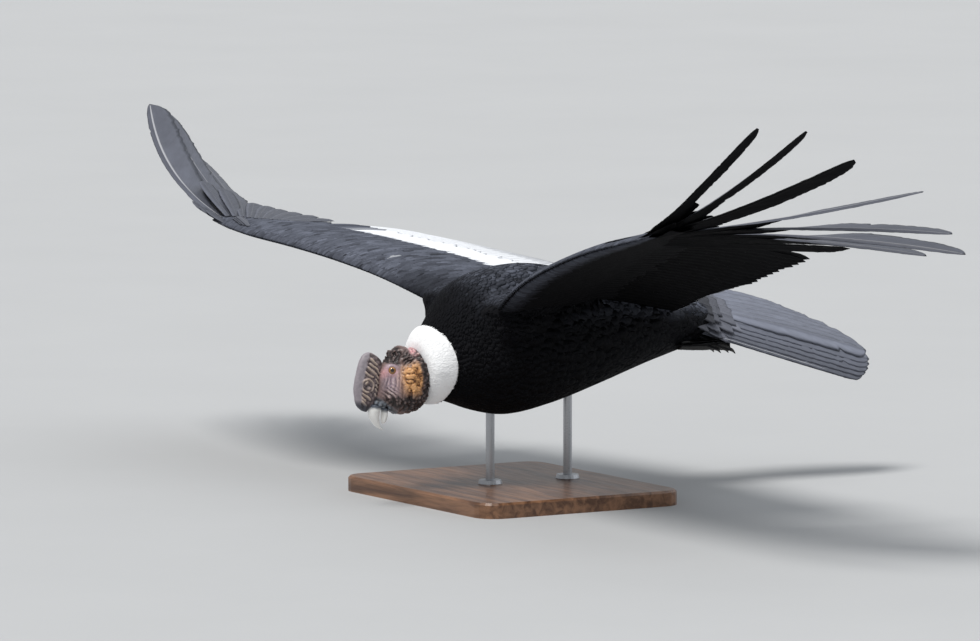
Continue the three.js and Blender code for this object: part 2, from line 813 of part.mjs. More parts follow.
// The seven leading primaries narrow from a notch on, and turn their leading side down there.
const FINGERS = 7;
const FINGER_TRAIL = [25, 29, 32, 34, 36, 36, 34];
const INNER_STATIONS = [0, 0.3, 0.85, 1];
const innerWidth = profile([
  [0, 8, 12],
  [0.3, 15, 38],
  [0.85, 15, 36],
  [1, 4, 8],
]);

function fingerWidth(i, at, broad) {
  const trail = broad * FINGER_TRAIL[i];
  const knots = [
    [0, i ? 4 : 9, 14],
    [at - 0.04, 12, Math.max(36, trail - 1)],
    [at + 0.07, 8.5, trail],
    [0.72, 9, trail - 1],
    [0.92, 8, 0.7 * trail],
    [1, 2, 3],
  ];
  return { width: profile(knots), stations: knots.map(([t]) => t) };
}

function handSolid(pose) {
  const edge = leadingEdge(pose);
  const end = ARM_LENGTH + HAND_LENGTH;
  const pieces = [fleshSolid(edge, [ARM_LENGTH + GAP / 2, 545, 590, 630, 670, end])];
  const last = pose.primaries.length - 1;
  pose.primaries.forEach(({ length, sweep, rise, turn = -13, broad = 1 }, i) => {
    const u = i / last; // 0 at the leading primary
    const frame = wingFrame(edge, lerp(end - 12, ARM_LENGTH + 12, u));
    const root = wingPoint(frame, lerp(16, 101, u ** 0.6));
    const heading = (t) => lerp(...sweep, t);
    const climb = (t) => lerp(...rise, t);
    const finger = i < FINGERS;
    const { width, stations } = finger
      ? fingerWidth(i, pose.notches[i], broad)
      : { width: innerWidth, stations: INNER_STATIONS };
    const at = pose.notches[i] ?? 0;
    const turned = (t) => THREE.MathUtils.smoothstep(t, at - 0.1, at + 0.25);
    const twist = (t) => lerp(6, finger ? turn : 6, turned(t));
    const frames = shaft(root, frame, length, heading, climb, stations);
    pieces.push(vane(frames, width, twist, { thick: 2.6 }));
  });
  for (let i = 0; i < last; i++) {
    const u = (i + 0.5) / last;
    const s = lerp(end - 20, ARM_LENGTH + 12, u);
    const sweep = lerp(pose.primaries[i].sweep[0], pose.primaries[i + 1].sweep[0], 0.5) + 4;
    pieces.push(covert(edge, s, lerp(0.4, 0.7, u), lerp(165, 120, u), sweep, covertWidth, 3));
  }
  for (let i = 0; i < 3; i++)
    pieces.push(covert(edge, 530 + 16 * i, 0.12, 125 - 18 * i, pose.hand[0][1] + 9, alulaWidth, 1));
  return mirror(join(pieces), pose.side);
}
const alulaWidth = profile([
  [0, 6, 9],
  [0.5, 7, 15],
  [0.88, 6, 11],
  [1, 2, 3],
]);

// Tail: its own directions are out, back and up.
const TAIL = (() => {
  const turn = new THREE.Matrix4()
    .makeRotationX(rad(-TAIL_DROOP))
    .multiply(new THREE.Matrix4().makeRotationY(rad(TAIL_TWIST)));
  const [out, back, up] = [new THREE.Vector3(), new THREE.Vector3(), new THREE.Vector3()];
  turn.extractBasis(out, back, up);
  return { out, back, up };
})();
const RECTRICES = 12;
const TAIL_COVERTS = 5;
const rectrixWidth = profile([
  [0, 8, 9],
  [0.35, 17, 25],
  [0.92, 18, 27],
  [1, 6, 8],
]);
const tailPoint = (out, back, up) =>
  vec(TAIL_BASE)
    .addScaledVector(TAIL.out, out)
    .addScaledVector(TAIL.back, back)
    .addScaledVector(TAIL.up, up);

function tailSolid() {
  const pieces = [];
  for (const side of [-1, 1])
    for (let i = 0; i < RECTRICES / 2; i++) {
      const u = (i + 0.5) / (RECTRICES / 2); // 0 in the middle, 1 at the edge
      const own = { out: TAIL.out.clone().multiplyScalar(side), back: TAIL.back, up: TAIL.up };
      const far = side < 0;
      const root = tailPoint(side * (5 + (far ? 60 : 38) * u), 0, 2 - 2.4 * i + (far ? 1.2 : 0));
      const length = TAIL_LENGTH * (1 - (far ? 0.46 : 0.12) * u * u);
      const sweep = (t) => 90 - lerp(TAIL_SPREAD, far ? -5 : -1, t) * u;
      const rise = (t) => lerp(3, -3, t);
      const frames = shaft(root, own, length, sweep, rise, [0, 0.35, 0.92, 1]);
      pieces.push(vane(frames, rectrixWidth, -3));
    }
  const rings = [];
  for (let k = 0; k <= 4; k++) {
    const t = k / 4;
    const shrink = Math.sqrt(1.04 - t ** 3);
    const [w, h] = [lerp(42, 44, t) * shrink, lerp(34, 24, t) * shrink];
    rings.push(
      Array.from({ length: 14 }, (_, i) => {
        const a = (2 * Math.PI * i) / 14;
        return tailPoint(w * Math.cos(a), lerp(-20, 80, t), -10 + h * Math.sin(a));
      }),
    );
  }
  pieces.push(loft(rings));
  for (let i = 0; i < TAIL_COVERTS; i++) {
    const x = lerp(-27, 27, i / (TAIL_COVERTS - 1));
    const own = { out: TAIL.back, back: TAIL.out, up: TAIL.up };
    const root = tailPoint(x, 30 + 6 * (i % 2), 8 - (x * x) / 90 + 1.2 * (i % 2));
    const frames = shaft(root, own, 95 + vary(5), () => x / 5, (t) => lerp(6, -2, t), COVERT_STATIONS);
    pieces.push(vane(frames, covertWidth, 0, { edge: 0.8, shafted: false }));
  }
  return join(pieces).subtract(torsoGrown);
}

// Legs, drawn back under the tail with the toes curled
const TOES = [
  { out: -9, reach: 36, drop: 2 },
  { out: 0, reach: 42, drop: 4 },
  { out: 9, reach: 34, drop: 2 },
];
const CLAW = 15;
function legSolids(side) {
  const x = side * 25;
  const ball = [x, 404, -57];
  const pieces = [
    tube(
      [[side * 36, 333, -42], [side * 31, 371, -51], ball, [x, 414, -58]],
      [11, 9, 8, 6],
      7,
    ),
  ];
  const claws = [];
  for (const { out, reach, drop } of TOES) {
    const joint = vec([x + out, 406 + reach / 2, -59]);
    const tip = vec([x + 1.3 * out, 406 + reach, -66 - drop]);
    const path = [vec([x, 398, -55]), joint, tip];
    pieces.push(tube(path.map((p) => p.toArray()), [6.5, 6, 4.6], 6));
    const ahead = new THREE.CatmullRomCurve3(path).getTangent(1);
    const start = tip.clone().addScaledVector(ahead, GAP);
    const bend = new THREE.Vector3(0, -0.1, -0.9);
    const middle = start.clone().addScaledVector(ahead, CLAW * 0.5);
    const point = start.clone().addScaledVector(ahead, CLAW * 0.9).addScaledVector(bend, CLAW * 0.3);
    claws.push(tube([start, middle, point].map((p) => p.toArray()), [3.6, 2.6, 0.6], 5));
  }
  return { leg: join(pieces).subtract(torsoGrown), claws };
}

// Everything of the bird, in its own level frame
const bird = new THREE.Group();
bird.name = "bird";
const add = (name, solid, material, tidy) => bird.add(meshOf(name, solid, material, tidy));

add("torso", torso, plumage);
add("neck", neckSolid(), bareSkin);
add("ruff", ruffSolid(), down);
add(
  "head",
  join([skull, ...face(0)])
    .subtract(eyes(GAP))
    .subtract(join([...mouthAndNostril(1), ...mouthAndNostril(-1)])),
  bareSkin,
);
const upperBill = headLoft(UPPER_BILL, { sides: 12 });
add("bill_upper", upperBill, horn);
add(
  "bill_lower",
  headLoft(LOWER_BILL, { sides: 12 }).subtract(headLoft(UPPER_BILL, { sides: 12, grow: GAP })),
  horn,
);
add(
  "comb",
  join([comb(), ...combFolds(1), ...combFolds(-1)])
    .subtract(faceGrown)
    .subtract(headLoft(UPPER_BILL, { sides: 12, grow: GAP })),
  combSkin,
);
for (const [name, pose] of Object.entries(POSES)) {
  const { side } = pose;
  add(`eye_${name}`, eyeball(side), eyeGloss);
  add(`wing_${name}_arm`, armSolid(pose), flight, WING_TIDY);
  add(`wing_${name}_hand`, handSolid(pose), flight, WING_TIDY);
  const { leg, claws } = legSolids(side);
  add(`leg_${name}`, leg, footSkin);
  claws.forEach((solid, i) => add(`claw_${name}_${i + 1}`, solid, claw));
}
add("tail", tailSolid(), flight, WING_TIDY);

const posed = new THREE.Matrix4()
  .makeTranslation(0, 0, BODY_HEIGHT)
  .multiply(new THREE.Matrix4().makeRotationY(rad(-BANK)))
  .multiply(new THREE.Matrix4().makeRotationX(rad(PITCH)));
bird.applyMatrix4(posed);

// Stand: a board on the floor and two rods up to the belly
function boardSolid() {
  const [length, width, height] = BOARD;
  const CORNER = 40;
  const BEVEL = 4;
  const outline = (inset, z) => {
    const ring = [];
    for (let quarter = 0; quarter < 4; quarter++)
      for (let k = 0; k <= 5; k++) {
        const a = (Math.PI / 2) * (quarter + k / 5);
        const sx = quarter === 0 || quarter === 3 ? 1 : -1;
        const sy = quarter < 2 ? 1 : -1;
        ring.push(
          new THREE.Vector3(
            sx * (length / 2 - CORNER) + (CORNER - inset) * Math.cos(a),
            sy * (width / 2 - CORNER) + (CORNER - inset) * Math.sin(a),
            z,
          ),
        );
      }
    return ring;
  };
  return loft([outline(0, 0), outline(0, height - BEVEL), outline(BEVEL, height)]);
}
const model = new THREE.Group();
model.add(bird);
model.add(meshOf("stand_board", boardSolid(), wood));
const torsoPosed = torsoGrown.transform(posed.elements);
for (const [name, y] of [["front", -45], ["rear", 120]]) {
  const foot = BOARD[2] + GAP;
  const rod = wasm.Manifold.cylinder(BODY_HEIGHT - foot, ROD_RADIUS, ROD_RADIUS, 20);
  const collar = wasm.Manifold.cylinder(7, 22, 20, 24);
  const solid = join([rod, collar]).translate([0, y, foot]).subtract(torsoPosed);
  model.add(meshOf(`stand_rod_${name}`, solid, steel));
}

export default model;
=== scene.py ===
import math

import bpy
import numpy as np
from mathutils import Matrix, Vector
from mathutils.bvhtree import BVHTree
from mathutils.kdtree import KDTree


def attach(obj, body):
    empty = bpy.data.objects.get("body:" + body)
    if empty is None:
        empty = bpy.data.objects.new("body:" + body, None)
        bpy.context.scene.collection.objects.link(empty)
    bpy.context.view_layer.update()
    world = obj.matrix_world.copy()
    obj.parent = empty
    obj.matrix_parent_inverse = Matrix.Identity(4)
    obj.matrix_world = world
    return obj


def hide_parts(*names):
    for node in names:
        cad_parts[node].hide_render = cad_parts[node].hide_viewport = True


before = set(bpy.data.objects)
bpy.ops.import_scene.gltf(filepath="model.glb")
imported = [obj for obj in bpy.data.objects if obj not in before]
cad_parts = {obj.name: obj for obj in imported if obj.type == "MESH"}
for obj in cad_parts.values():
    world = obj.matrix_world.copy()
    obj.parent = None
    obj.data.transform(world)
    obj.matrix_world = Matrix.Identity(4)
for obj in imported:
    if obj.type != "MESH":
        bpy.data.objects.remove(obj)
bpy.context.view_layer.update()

# Sizes of the part, in millimetres and degrees
BODY_HEIGHT = 270
PITCH = 6
BANK = 4
TAIL_BASE = [0, 392, 12]
TAIL_DROOP = 21.6
TAIL_TWIST = 46
TAIL_SPREAD = 7
TAIL_LENGTH = 398
HEAD_CENTRE = [0, -257.5, 25.9]
HEAD_DROOP = 66
ARM_LENGTH = 500
WING_LENGTH = 700
WING_CHORD = 420
CAMBER = 0.05
EYE_RADIUS = 8.8

# Camera
FOCAL_PIXELS = 8800
IMAGE_WIDTH = 980
CAMERA_DISTANCE = 16
AZIMUTH = 59
ELEVATION = 6
TARGET_SHIFT = [-0.0389, 0.0533]  # from the body's middle, to the right and up in the picture

# Skin and coat
BODY_VOXEL = 5.0
HEAD_VOXEL = 1.15
LEG_VOXEL = 1.1
RUFF_VOXEL = 3.0
TUFT_PATCH = 0.003  # a small feather's patch on the unwrap
LEAF_THICK = 0.5
ROOT_SUNK = 1.0
BARB_LEAN = 0.55

LEFT, AFT, UP = np.eye(3)


def lerp(a, b, t):
    return a + (b - a) * t


def unit(v):
    return v / np.linalg.norm(v, axis=-1, keepdims=True)


def ramp(x, low, high):
    """From 0 at low to 1 at high, with soft ends."""
    t = np.clip((x - low) / (high - low), 0, 1)
    return t * t * (3 - 2 * t)


def bell(x, width):
    return np.exp(-((x / width) ** 2))


def circle(count):
    return 2 * math.pi * np.arange(count) / count


def turn_x(degrees):
    c, s = math.cos(math.radians(degrees)), math.sin(math.radians(degrees))
    return np.array([[1, 0, 0], [0, c, -s], [0, s, c]])


def turn_y(degrees):
    c, s = math.cos(math.radians(degrees)), math.sin(math.radians(degrees))
    return np.array([[c, 0, s], [0, 1, 0], [-s, 0, c]])


POSED = turn_y(-BANK) @ turn_x(PITCH)


def place(points):
    """Points of the bird's frame in the row frame, in metres."""
    return (points @ POSED.T + [0, 0, BODY_HEIGHT]) / 1000


def profile(knots):
    """A smooth curve through knots of [position, value, value...], for arrays of positions."""
    table = np.array(knots, float)
    x, v = table[:, 0], table[:, 1:]
    last = len(x) - 1
    low = np.maximum(np.arange(last + 1) - 1, 0)
    high = np.minimum(np.arange(last + 1) + 1, last)
    slope = (v[high] - v[low]) / (x[high] - x[low])[:, None]

    def at(position):
        q = np.atleast_1d(np.asarray(position, float))
        i = np.clip(np.searchsorted(x, q, side="left") - 1, 0, last - 1)
        h = x[i + 1] - x[i]
        t = np.clip((q - x[i]) / h, 0, 1)[:, None]
        h = h[:, None]
        t2, t3 = t * t, t * t * t
        return (
            v[i] * (2 * t3 - 3 * t2 + 1)
            + v[i + 1] * (3 * t2 - 2 * t3)
            + h * (slope[i] * (t3 - 2 * t2 + t) + slope[i + 1] * (t3 - t2))
        )

    return at


def smooth_path(points, count):
    points = np.asarray(points, float)
    curve = profile(np.column_stack([np.linspace(0, 1, len(points)), points]))
    return curve(np.linspace(0, 1, count))


def chance_at(cell, seed=0):
    """A number from -1 to 1 for each whole-numbered cell, the same at every run."""
    h = (cell[..., 0] * 73856093) ^ (cell[..., 1] * 19349663) ^ (cell[..., 2] * 83492791)
    h = (h + seed * 7919) & 0x7FFFFFFF
    h = ((h ^ (h >> 13)) * 1274126177) & 0x7FFFFFFF
    return ((h ^ (h >> 15)) & 0xFFFF) / 32767.5 - 1


def noise(p, seed=0):
    """Smooth noise from -1 to 1 at points, one cell to a unit."""
    base = np.floor(p)
    f = p - base
    f = f * f * (3 - 2 * f)
    base = base.astype(np.int64)
    total = 0
    for corner in range(8):
        o = [(corner >> k) & 1 for k in range(3)]
        weight = 1
        for k in range(3):
            weight = weight * (f[..., k] if o[k] else 1 - f[..., k])
        total = total + weight * chance_at(base + o, seed)
    return total


def knobs(p, seed=0):
    """Rounded knobs, about one to a unit: 1 on a knob and 0 between knobs."""
    base = np.floor(p).astype(np.int64)
    nearest = np.full(len(p), 9.0)
    for corner in range(27):
        cell = base + [corner // 9 - 1, corner // 3 % 3 - 1, corner % 3 - 1]
        off = np.stack([chance_at(cell, seed + k) for k in range(3)], -1)
        nearest = np.minimum(nearest, np.linalg.norm(cell + 0.5 + 0.35 * off - p, axis=1))
    return ramp(nearest, 0.75, 0.1)


def folds(x):
    """Broad rounded ridges with narrow grooves between them, one to a unit: from 0 to 1."""
    return (0.5 + 0.5 * np.cos(2 * math.pi * x)) ** 0.55


# Meshes


def quads_of(sheet):
    """Quads between the rows and columns of an array of point numbers."""
    corners = [sheet[:-1, :-1], sheet[:-1, 1:], sheet[1:, 1:], sheet[1:, :-1]]
    return np.stack(corners, -1).reshape(-1, 4)


def closed_sheet(rows, columns):
    """Quads of an upper sheet of points, and of a lower one that shares its rim."""
    upper = np.arange(rows * columns).reshape(rows, columns)
    lower = upper.copy()
    inner = np.arange((rows - 2) * (columns - 2)).reshape(rows - 2, columns - 2)
    lower[1:-1, 1:-1] = upper.size + inner
    return np.concatenate([quads_of(upper), quads_of(lower)[:, ::-1]])


def on_sheets(upper, lower):
    """Values at a closed sheet's points: all of the upper side, then the lower's inner ones."""
    inner = lower[1:-1, 1:-1]
    flat = [side.reshape(-1, *side.shape[2:]) for side in (upper, inner)]
    return np.concatenate(flat)


def finish_mesh(name, points, faces, materials=(), values=None, uv=None, indices=None):
    """A Blender object from placed points, arrays of faces and point values."""
    mesh = bpy.data.meshes.new(name)
    mesh.vertices.add(len(points))
    mesh.vertices.foreach_set("co", points.astype(np.float32).ravel())
    corners = np.concatenate([f.ravel() for f in faces])
    sizes = np.concatenate([np.full(len(f), f.shape[1]) for f in faces])
    mesh.loops.add(len(corners))
    mesh.loops.foreach_set("vertex_index", corners.astype(np.int32))
    mesh.polygons.add(len(sizes))
    starts = np.concatenate([[0], np.cumsum(sizes)[:-1]])
    mesh.polygons.foreach_set("loop_start", starts.astype(np.int32))
    mesh.polygons.foreach_set("use_smooth", np.ones(len(sizes), bool))
    if indices is not None:
        mesh.polygons.foreach_set("material_index", indices.astype(np.int32))
    for key, value in (values or {}).items():
        attribute = mesh.attributes.new(key, "FLOAT", "POINT")
        attribute.data.foreach_set("value", np.asarray(value, np.float32))
    if uv is not None:
        layer = mesh.uv_layers.new(name="OFBake")
        layer.uv.foreach_set("vector", uv[corners].astype(np.float32).ravel())
    mesh.update(calc_edges=True)
    for material in materials:
        mesh.materials.append(material)
    piece = bpy.data.objects.new(name, mesh)
    bpy.context.scene.collection.objects.link(piece)
    return piece


def make_piece(name, slot, nodes, points, faces, materials, **rest):
    """A piece of the bird, from points in the bird's frame."""
    piece = finish_mesh(name, place(points), faces, materials, **rest)
    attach(piece, "root")
    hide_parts(*nodes)
    return piece


class Flock:
    """Feathers that become one piece. Big ones have equal strips of its unwrap."""

    VALUES = ("tone", "white", "along", "across", "quill", "chance")

    def __init__(self, strips=1, mirrored=False):
        self.points, self.faces, self.uv, self.lower = [], [], [], []
        self.values = {key: [] for key in self.VALUES}
        self.strips, self.mirrored = strips, mirrored
        self.count = self.used = 0

    def next_strip(self):
        self.used += 1
        return (self.used - 1) / self.strips, self.used / self.strips

    def add(self, points, faces, uv, turned=False, lower=None, **values):
        """Points in any array of threes. Where turned, the faces go the other way round."""
        shape = points.shape[:-1]
        points = points.reshape(-1, 3)
        if self.mirrored:
            points = points * [-1, 1, 1]
        if turned != self.mirrored:
            faces = faces[:, ::-1]
        self.points.append(points)
        self.faces.append(faces + self.count)
        self.uv.append(uv.reshape(-1, 2))
        self.lower.append(np.zeros(len(faces)) if lower is None else lower)
        self.count += len(points)
        for key, kept in self.values.items():
            kept.append(np.broadcast_to(values.get(key, 0.0), shape).ravel())

    def make(self, name, slot, nodes, materials):
        values = {key: np.concatenate(kept) for key, kept in self.values.items()}
        return make_piece(
            name, slot, nodes, np.concatenate(self.points), [np.concatenate(self.faces)],
            materials, values=values, uv=np.concatenate(self.uv),
            indices=np.concatenate(self.lower),
        )


# Small feathers: thin closed leaves, many of one template at once

LEAF_AT = [0, 0.22, 0.45, 0.68, 0.86, 0.95, 1]
LEAF_WIDE = [0.42, 0.8, 1, 0.98, 0.74, 0.48, 0.1]


def leaf_template(rows, columns):
    """A leaf's points by where they are along it, across it and below it, and its faces."""
    t = np.linspace(0, 1, rows + 1) ** 0.9
    along, across = np.meshgrid(t, np.linspace(-1, 1, columns + 1), indexing="ij")
    below = on_sheets(0 * along, 0 * along + 1)
    faces = closed_sheet(rows + 1, columns + 1)
    return on_sheets(along, along), on_sheets(across, across), below, faces


def leaf_shape(template, length, half, lift, curl, arch, ragged, rng):
    """How far each leaf's points are from its root: to the side, ahead and off the skin."""
    ts, across, below, _ = template
    length, half = length[:, None], half[:, None]
    fringe = 1 + ragged * rng.standard_normal((len(length), len(ts))) * (np.abs(across) > 0.9)
    wide = across * np.interp(ts, LEAF_AT, LEAF_WIDE) * fringe
    x = wide * half
    y = length * ts + 0.4 * np.abs(x) * (1 - ts)
    height = length * lift * (ts - curl * ts**2) - arch * half * wide**2
    return x, y, height - LEAF_THICK * below - ROOT_SUNK * (ts < 0.02)


def add_leaves(flock, template, points, uv, tone, rim, rng, white=0.0, turned=False):
    """Leaves at points (leaf, point, 3), each a patch on the unwrap at its root."""
    ts, across, below, faces = template
    # rim darkens each leaf's lower sheet: painted shade under the leaf.
    shade = np.where(below > 0, rim, 1.0)
    starts = len(ts) * np.arange(len(points))
    flock.add(
        points,
        (faces + starts[:, None, None]).reshape(-1, 4),
        uv[:, None] + TUFT_PATCH * np.stack([across / 2, ts - 0.5], -1),
        turned=turned,
        tone=np.clip(tone, 0, 1)[:, None] * shade,
        white=np.reshape(white, (-1, 1)) * shade,
        along=ts,
        across=across,
        chance=rng.random((len(points), 1)),
    )


# Big feathers

SHAFT_STEPS = 24
VANE_AT = np.array([-1, -0.74, -0.5, -0.27, 0, 0, 0, 0.45, 0.75, 1])  # from trail to lead
SHAFT_SIDE = np.array([0, 0, 0, 0, -1, 0, 1, 0, 0, 0])
SHAFT_COLUMN = 5


def course(value):
    """An angle along a feather: a function of t, a pair from root to tip, or one number."""
    if callable(value):
        return value
    first, last = np.broadcast_to(value, 2)
    return lambda t: lerp(first, last, t)


def shaft(root, basis, length, sweep, rise, t):
    """The shaft's points at t, and its ahead, lead and over directions there."""
    out, back, up = basis
    sweep, rise = course(sweep), course(rise)
    knots = np.arange(SHAFT_STEPS + 1) / SHAFT_STEPS

    def directions(at):
        s, r = np.radians(sweep(at))[:, None], np.radians(rise(at))[:, None]
        level = out * np.cos(s) + back * np.sin(s)
        lead = out * np.sin(s) - back * np.cos(s)
        return level * np.cos(r) + up * np.sin(r), lead, -level * np.sin(r) + up * np.cos(r)

    along = directions(knots[:-1])[0] * length / SHAFT_STEPS
    line = root + np.concatenate([np.zeros((1, 3)), np.cumsum(along, 0)])
    return profile(np.column_stack([knots, line]))(t), *directions(t)


def frayed(wide, splits, rng):
    """Widths (lead, trail) made a little uneven, with a split here and there."""
    rough = 1 + 0.025 * rng.standard_normal((2, len(wide)))
    for _ in range(splits):
        at = rng.integers(len(wide) // 5, len(wide) - 3)
        which = int(rng.random() < 0.7)
        rough[which, at] *= rng.uniform(0.72, 0.9)
    return np.hsplit(wide * rough.T, 2)


def vane_sections(t, lead, trail, rachis, arch, thick, rng):
    """Across every section: how far along the vane's width, the offset, the top and the bottom."""
    thin = rachis * (1 - 0.82 * t)[:, None]
    column = np.arange(len(VANE_AT))
    wide = np.where(column < SHAFT_COLUMN, trail, lead)
    offset = VANE_AT * wide + SHAFT_SIDE * thin
    across = VANE_AT + SHAFT_SIDE * thin / np.maximum(wide, 2)
    bowed = np.where(column <= SHAFT_COLUMN + 1, trail, lead)
    bow = arch * (1 - VANE_AT**2) * np.minimum(bowed / 20, 1.5)
    zero = 0 * t
    barbs = 0.35 * noise(np.column_stack([t * 70, zero, zero + rng.uniform(0, 99)]))
    bow = bow + barbs[:, None] * np.abs(across)
    half = thick / 2 * (np.abs(VANE_AT) < 1)
    ridge = thin * (column == SHAFT_COLUMN)
    return across, offset, bow + half + ridge, bow - half - 1.2 * ridge


def add_feather(flock, root, basis, length, sweep, rise, t, width, twist, rng, turned=False,
                tone=0.3, under=0.05, white=0.0, rachis=1.6, arch=1.5, splits=1, thick=0.45,
                pale_edge=0.0, quill=0.3):
    """One big feather with its points at t: basis is (out, back, up), and width(t) gives its
    lead and trail sides. A left-handed basis needs turned faces."""
    point, ahead, over_lead, over = shaft(root, basis, length, sweep, rise, t)
    turn = np.radians(np.broadcast_to(twist, len(t)))[:, None]
    side = over_lead * np.cos(turn) + over * np.sin(turn)
    normal = over * np.cos(turn) - over_lead * np.sin(turn)
    lead, trail = frayed(width(t), splits, rng)
    across, offset, top, bottom = vane_sections(t, lead, trail, rachis, arch, thick, rng)
    lean = BARB_LEAN * np.abs(offset) * (ramp(t, 0, 0.1) * (1 - ramp(t, 0.86, 1)))[:, None]
    flat = point[:, None] + ahead[:, None] * lean[..., None] + side[:, None] * offset[..., None]
    upper, lower = (flat + normal[:, None] * height[..., None] for height in (top, bottom))

    none = 0 * across
    ts = none + t[:, None]
    lit = ramp(across, 0.5, 1.0) * pale_edge * (1 - ramp(ts, 0.93, 1))
    rows, columns = across.shape
    below = on_sheets(none, none + 1)
    left, right = flock.next_strip()
    u = lerp(left, right, 0.04 + 0.22 * (on_sheets(across, across) + 1) + 0.5 * below)
    flock.add(
        on_sheets(upper, lower),
        np.roll(closed_sheet(rows, columns), -1, axis=1),
        np.stack([u, 0.01 + 0.98 * on_sheets(ts, ts)], -1),
        turned=turned,
        lower=np.repeat([0, 1], (rows - 1) * (columns - 1)),
        tone=on_sheets(lerp(tone, 1, lit), none + under),
        white=on_sheets(none + white, none),
        along=on_sheets(ts, ts),
        across=on_sheets(across, across),
        quill=quill,
        chance=rng.random(),
    )


# Materials


class Paint:
    """A material, with the nodes behind its colour, roughness and relief."""

    def __init__(self, name, **sockets):
        self.material = bpy.data.materials.new(name)
        self.material.use_nodes = True
        self.tree = self.material.node_tree
        self.shader = self.tree.nodes["Principled BSDF"]
        for key, value in sockets.items():
            self.give(self.shader.inputs[key.replace("_", " ")], value)

    def give(self, target, value):
        if isinstance(value, bpy.types.NodeSocket):
            self.tree.links.new(value, target)
        elif target.type == "RGBA":
            target.default_value = (*value, 1.0)
        else:
            target.default_value = value

    def node(self, kind, values, output=0, **settings):
        made = self.tree.nodes.new("ShaderNode" + kind)
        for key, value in settings.items():
            setattr(made, key, value)
        for socket, value in values.items():
            self.give(made.inputs[socket], value)
        return made.outputs[output]

    def blend(self, factor, a, b):
        return self.node("Mix", {0: factor, 6: a, 7: b}, 2, data_type="RGBA")

    def calc(self, operation, *values):
        return self.node("Math", dict(enumerate(values)), operation=operation)

    def times(self, a, b):
        return self.calc("MULTIPLY", a, b)

    def add(self, a, b):
        return self.calc("ADD", a, b)

    def sway(self, grain, size):
        """A grain as a change up and down."""
        return self.times(self.calc("SUBTRACT", grain, 0.5), size)

    def between(self, value, low, high, to_low=0.0, to_high=1.0):
        values = {"Value": value, 1: low, 2: high, 3: to_low, 4: to_high}
        return self.node("MapRange", values, interpolation_type="SMOOTHSTEP")

    def given(self, name):
        return self.node("Attribute", {}, "Fac", attribute_name=name)

    def stretched(self, scale):
        values = {0: self.node("TexCoord", {}, "Object"), 3: scale}
        return self.node("Mapping", values)

    def joined(self, x, y, z=0.0):
        return self.node("CombineXYZ", {0: x, 1: y, 2: z})

    def speckle(self, scale, detail=3.0, vector=None, distortion=0.0):
        values = {"Scale": scale, "Detail": detail, "Roughness": 0.6, "Distortion": distortion}
        values["Vector"] = vector or self.node("TexCoord", {}, "Object")
        return self.node("TexNoise", values)

    def finish(self, base, rough=None, relief=None):
        """rough is (grain, least, most) and relief is (grain, strength, depth in metres)."""
        self.give(self.shader.inputs["Base Color"], base)
        if rough:
            grain, least, most = rough
            grain = self.between(grain, 0.3, 0.7, least, most)
            self.give(self.shader.inputs["Roughness"], grain)
        if relief:
            values = dict(zip(("Height", "Strength", "Distance"), relief))
            self.give(self.shader.inputs["Normal"], self.node("Bump", values))
        return self.material


def feather_material(name, dark, pale, quill, rough, shine, shafts=True, below=False):
    """Feathers: barbs slant from the shaft, and tone and white come from the feathers' values."""
    paint = Paint(name, Specular_IOR_Level=shine)
    along, across, chance = (paint.given(key) for key in ("along", "across", "chance"))
    # With below, the lower faces take a fixed near-black tone: painted shade on the feathers'
    # undersides.
    tone = paint.between(along, 0.0, 1.0, 0.02, 0.05) if below else paint.given("tone")
    beside = paint.calc("ABSOLUTE", across)
    run = paint.calc("SUBTRACT", paint.times(along, 90.0), paint.times(beside, 9.0))
    barbs_at = paint.joined(run, across, paint.times(chance, 50.0))
    barbs = paint.speckle(1.3, 4.0, barbs_at)
    bars_at = paint.joined(paint.times(run, 0.12), across, paint.times(chance, 31.0))
    bars = paint.speckle(1.4, 2.0, bars_at)
    mottle = paint.speckle(55.0, 3.0)
    shift = paint.add(paint.sway(barbs, 0.22), paint.sway(bars, 0.55))
    shift = paint.add(shift, paint.sway(mottle, 0.3))
    shift = paint.times(shift, paint.add(paint.times(tone, 0.9), 0.08))
    worn = paint.times(paint.between(beside, 0.86, 1.0), paint.times(tone, 0.25))
    shade = paint.node("Clamp", {0: paint.add(paint.add(tone, shift), worn)})
    base = paint.blend(shade, dark, pale)
    if shafts:
        line = paint.between(beside, 0.035, 0.09, 1.0, 0.0)
        line = paint.times(line, paint.between(tone, 0.04, 0.3, 0.12, 0.75))
        base = paint.blend(paint.times(line, paint.given("quill")), base, quill)
    if not below:
        snow = paint.blend(paint.times(barbs, 0.5), (0.84, 0.85, 0.87), (0.6, 0.63, 0.7))
        base = paint.blend(paint.given("white"), base, snow)
    return paint.finish(base, (barbs, *rough), (barbs, 0.35, 0.0004))


def plain_material(name, first, second, scale, rough, shine=0.4):
    paint = Paint(name, Specular_IOR_Level=shine)
    grain = paint.speckle(scale, 4.0)
    return paint.finish(paint.blend(grain, first, second), (grain, *rough), (grain, 0.4, 0.0004))


# The upper faces' blue-grey pale tone is partly the plumage's own grey and partly a painted skylight
# sheen on black feathers.
flight_feather = feather_material(
    "flight_feather", (0.0045, 0.0045, 0.0055), (0.215, 0.23, 0.29), (0.5, 0.5, 0.52),
    rough=(0.34, 0.5), shine=0.32,
)
# Painted shade: the feathers' lower faces, a darkened copy of the upper faces' plumage.
shaded_under_feather = feather_material(
    "shaded_under_feather", (0.002, 0.002, 0.0024), (0.11, 0.11, 0.12), (0.02, 0.02, 0.022),
    rough=(0.7, 0.85), shine=0.03, below=True,
)
rump_feather = feather_material(
    "rump_feather", (0.004, 0.004, 0.0045), (0.27, 0.28, 0.335), (0.4, 0.4, 0.42),
    rough=(0.45, 0.65), shine=0.15,
)
body_feather = feather_material(
    "body_feather", (0.003, 0.003, 0.0038), (0.23, 0.25, 0.315), (0.2, 0.2, 0.22),
    rough=(0.65, 0.85), shine=0.06, shafts=False,
)


# Camera, light and floor

